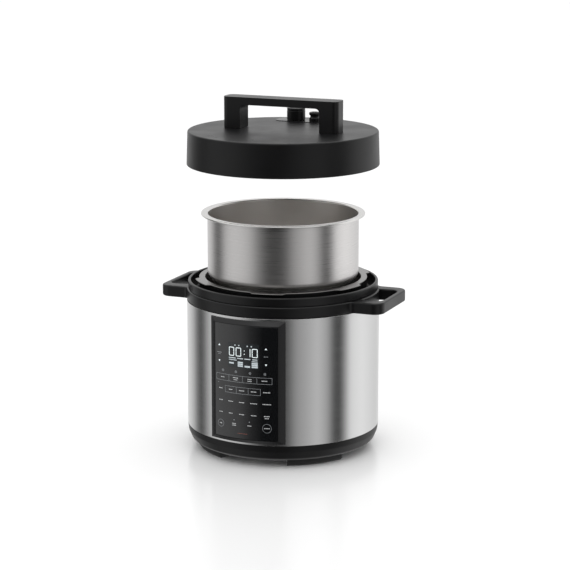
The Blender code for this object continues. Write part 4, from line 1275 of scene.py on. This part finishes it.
# The camera: degrees round from the front, metres away and up, and degrees that it looks down.
CAMERA_ROUND, CAMERA_AWAY, CAMERA_HEIGHT, CAMERA_DIP = 22.4, 3.0, 0.8938, 12.35

# The room as cards and gaps round the cooker: degrees from the camera towards its right, and the light there.
# They were set until the upright bands on the steel looked right.
ROOM = (
    (-180, 0.86), (-150, 0.86), (-136, 0.66), (-127, 0.30),  # the white wall behind, fading on the left
    (-117, 0.08), (-109, 0.22),  # a dark gap
    (-98, 0.70), (-86, 0.86), (-66, 0.80), (-52, 0.66), (-38, 0.26),  # the left card
    (-24, 0.04), (-8, 0.03), (4, 0.10),  # the dark gap that the camera stands in
    (16, 0.44), (28, 0.58), (42, 0.78), (54, 0.56),  # the near right card
    (63, 0.12), (72, 0.04), (79, 0.40),  # a dark gap
    (88, 1.10), (108, 1.24), (130, 1.05), (150, 0.86), (180, 0.86),  # the bright right card, back to the wall
)
OVERHEAD = 1.25  # the white ceiling card


def room_light(azimuth):
    """Surrounds the stage with white cards and dark gaps, which the steel shows as upright bands."""
    world = bpy.data.worlds.new("studio")
    world.use_nodes = True
    tree = world.node_tree
    sight = add(tree, "ShaderNodeTexCoord").outputs["Generated"]
    parts = add(tree, "ShaderNodeSeparateXYZ", {"Vector": sight})
    south = add(tree, "ShaderNodeMath", {0: parts.outputs["Y"], 1: -1.0}, operation="MULTIPLY")
    around = add(tree, "ShaderNodeMath", {0: parts.outputs["X"], 1: south.outputs[0]}, operation="ARCTAN2")
    share = add(
        tree, "ShaderNodeMath", {0: around.outputs[0], 1: 1 / (2 * pi), 2: 0.5 - azimuth / 360},
        operation="MULTIPLY_ADD",
    )
    wrapped_share = add(tree, "ShaderNodeMath", {0: share.outputs[0], 1: 1.0}, operation="FLOORED_MODULO")
    ramp = add(tree, "ShaderNodeValToRGB", {"Fac": wrapped_share.outputs[0]})
    ramp.color_ramp.interpolation = "LINEAR"
    stops = ramp.color_ramp.elements
    while len(stops) > 1:
        stops.remove(stops[-1])
    for number, (angle, level) in enumerate(ROOM):
        stop = stops[0] if number == 0 else stops.new((angle + 180) / 360)
        stop.position = (angle + 180) / 360
        stop.color = (level, level, level, 1.0)
    ceiling = add(
        tree, "ShaderNodeMapRange", {"Value": parts.outputs["Z"], "From Min": 0.22, "From Max": 0.60},
    )
    light = add(
        tree, "ShaderNodeMix", {"Factor": ceiling.outputs["Result"], "A": ramp.outputs["Color"]},
        data_type="RGBA",
    )
    light.inputs["B"].default_value = (OVERHEAD, OVERHEAD, OVERHEAD, 1.0)
    background = tree.nodes["Background"]
    background.inputs["Strength"].default_value = 1.0
    tree.links.new(light.outputs["Result"], background.inputs["Color"])
    bpy.context.scene.world = world


class COOKER_OT_stage(Piece, bpy.types.Operator):
    """Sets the camera, the pale floor and the soft lights"""

    bl_idname = "cooker.stage"
    bl_label = "Stage"

    def build(self, size):
        scene = bpy.context.scene
        camera = bpy.data.objects.new("Camera", bpy.data.cameras.new("Camera"))
        scene.collection.objects.link(camera)
        camera.location = (*polar(CAMERA_AWAY, CAMERA_ROUND), CAMERA_HEIGHT)
        camera.rotation_euler = (radians(90 - CAMERA_DIP), 0.0, radians(CAMERA_ROUND))
        camera.data.sensor_width = 36.0
        camera.data.lens = 133.17
        camera.data.shift_x = 0.00326
        scene.camera = camera
        scene.view_settings.view_transform = "Standard"
        room_light(CAMERA_ROUND)
        bm = bmesh.new()
        bmesh.ops.create_circle(bm, cap_ends=True, segments=96, radius=12.0)
        mesh = bpy.data.meshes.new("floor")
        bm.to_mesh(mesh)
        bm.free()
        floor = bare("floor", mesh)
        floor.location.z = -0.0002
        # A satin white laminate: a fixed share of blurred reflection over the white, at every angle of view.
        white, tree, shader, _ = start("white_laminate", srgb("#f7f7f7"), 0.0, 1.0, Specular_IOR_Level=0.0)
        gloss = add(tree, "ShaderNodeBsdfGlossy", {"Color": (1.0, 1.0, 1.0, 1.0), "Roughness": 0.20})
        coat = add(
            tree, "ShaderNodeMixShader", {0: 0.20, 1: shader.outputs["BSDF"], 2: gloss.outputs["BSDF"]},
        )
        tree.links.new(coat.outputs["Shader"], tree.nodes["Material Output"].inputs["Surface"])
        floor.data.materials.append(white)
        floor.visible_glossy = False
        bm = bmesh.new()
        bmesh.ops.create_uvsphere(bm, u_segments=48, v_segments=24, radius=11.5)
        mesh = bpy.data.meshes.new("backdrop")
        bm.to_mesh(mesh)
        bm.free()
        backdrop = bare("backdrop", mesh)
        paper, _, shader, _ = start("backdrop_paper", srgb("#000000"), 0.0, 1.0, Specular_IOR_Level=0.0)
        shader.inputs["Emission Color"].default_value = (1.0, 1.0, 1.0, 1.0)
        shader.inputs["Emission Strength"].default_value = 1.0
        backdrop.data.materials.append(paper)
        for ray in ("diffuse", "glossy", "transmission", "volume_scatter", "shadow"):
            setattr(backdrop, "visible_" + ray, False)
        for name, place_at, size_x, size_y, watts, aim in (
            ("top_box", (0.0, 0.15, 2.3), 2.2, 2.2, 9.0, (0.0, 0.0, 0.2)),
            ("front_fill", (*polar(2.6, CAMERA_ROUND - 20), 1.9), 1.4, 1.0, 3.0, (0.0, 0.0, 0.25)),
        ):
            lamp = bpy.data.lights.new(name, "AREA")
            lamp.shape = "RECTANGLE"
            lamp.size = size_x
            lamp.size_y = size_y
            lamp.energy = watts
            obj = bpy.data.objects.new(name, lamp)
            scene.collection.objects.link(obj)
            obj.location = place_at
            obj.rotation_euler = (Vector(aim) - Vector(place_at)).to_track_quat("-Z", "Y").to_euler()


STEPS = (
    COOKER_OT_stage, COOKER_OT_shell, COOKER_OT_band, COOKER_OT_ring, COOKER_OT_base_pan, COOKER_OT_heater,
    COOKER_OT_panel, COOKER_OT_keys, COOKER_OT_back, COOKER_OT_pot, COOKER_OT_lid, COOKER_OT_lid_handle,
    COOKER_OT_lid_underside, COOKER_OT_valves, COOKER_OT_inner_parts,
)


class COOKER_PT_builder(bpy.types.Panel):
    """Lists the cooker's pieces and their sizes."""

    bl_label = "Pressure Cooker"
    bl_idname = "COOKER_PT_builder"
    bl_space_type = "VIEW_3D"
    bl_region_type = "UI"
    bl_category = "Cooker"

    def draw(self, context):
        for group in (context.scene.cooker_sizes, context.scene.cooker_colours):
            column = self.layout.column(align=True)
            for name in group.__annotations__:
                column.prop(group, name)
        for step in STEPS:
            self.layout.operator(step.bl_idname)


CLASSES = (CookerSizes, CookerColours, *STEPS, COOKER_PT_builder)


def register():
    for item in CLASSES:
        bpy.utils.register_class(item)
    bpy.types.Scene.cooker_sizes = PointerProperty(type=CookerSizes)
    bpy.types.Scene.cooker_colours = PointerProperty(type=CookerColours)


def unregister():
    del bpy.types.Scene.cooker_colours
    del bpy.types.Scene.cooker_sizes
    for item in reversed(CLASSES):
        bpy.utils.unregister_class(item)


def plain(box):
    return [[float(value) for value in corner] for corner in box]


def main():
    register()
    for step in STEPS:
        group, name = step.bl_idname.split(".")
        getattr(getattr(bpy.ops, group), name)()


if __name__ == "__main__":
    main()
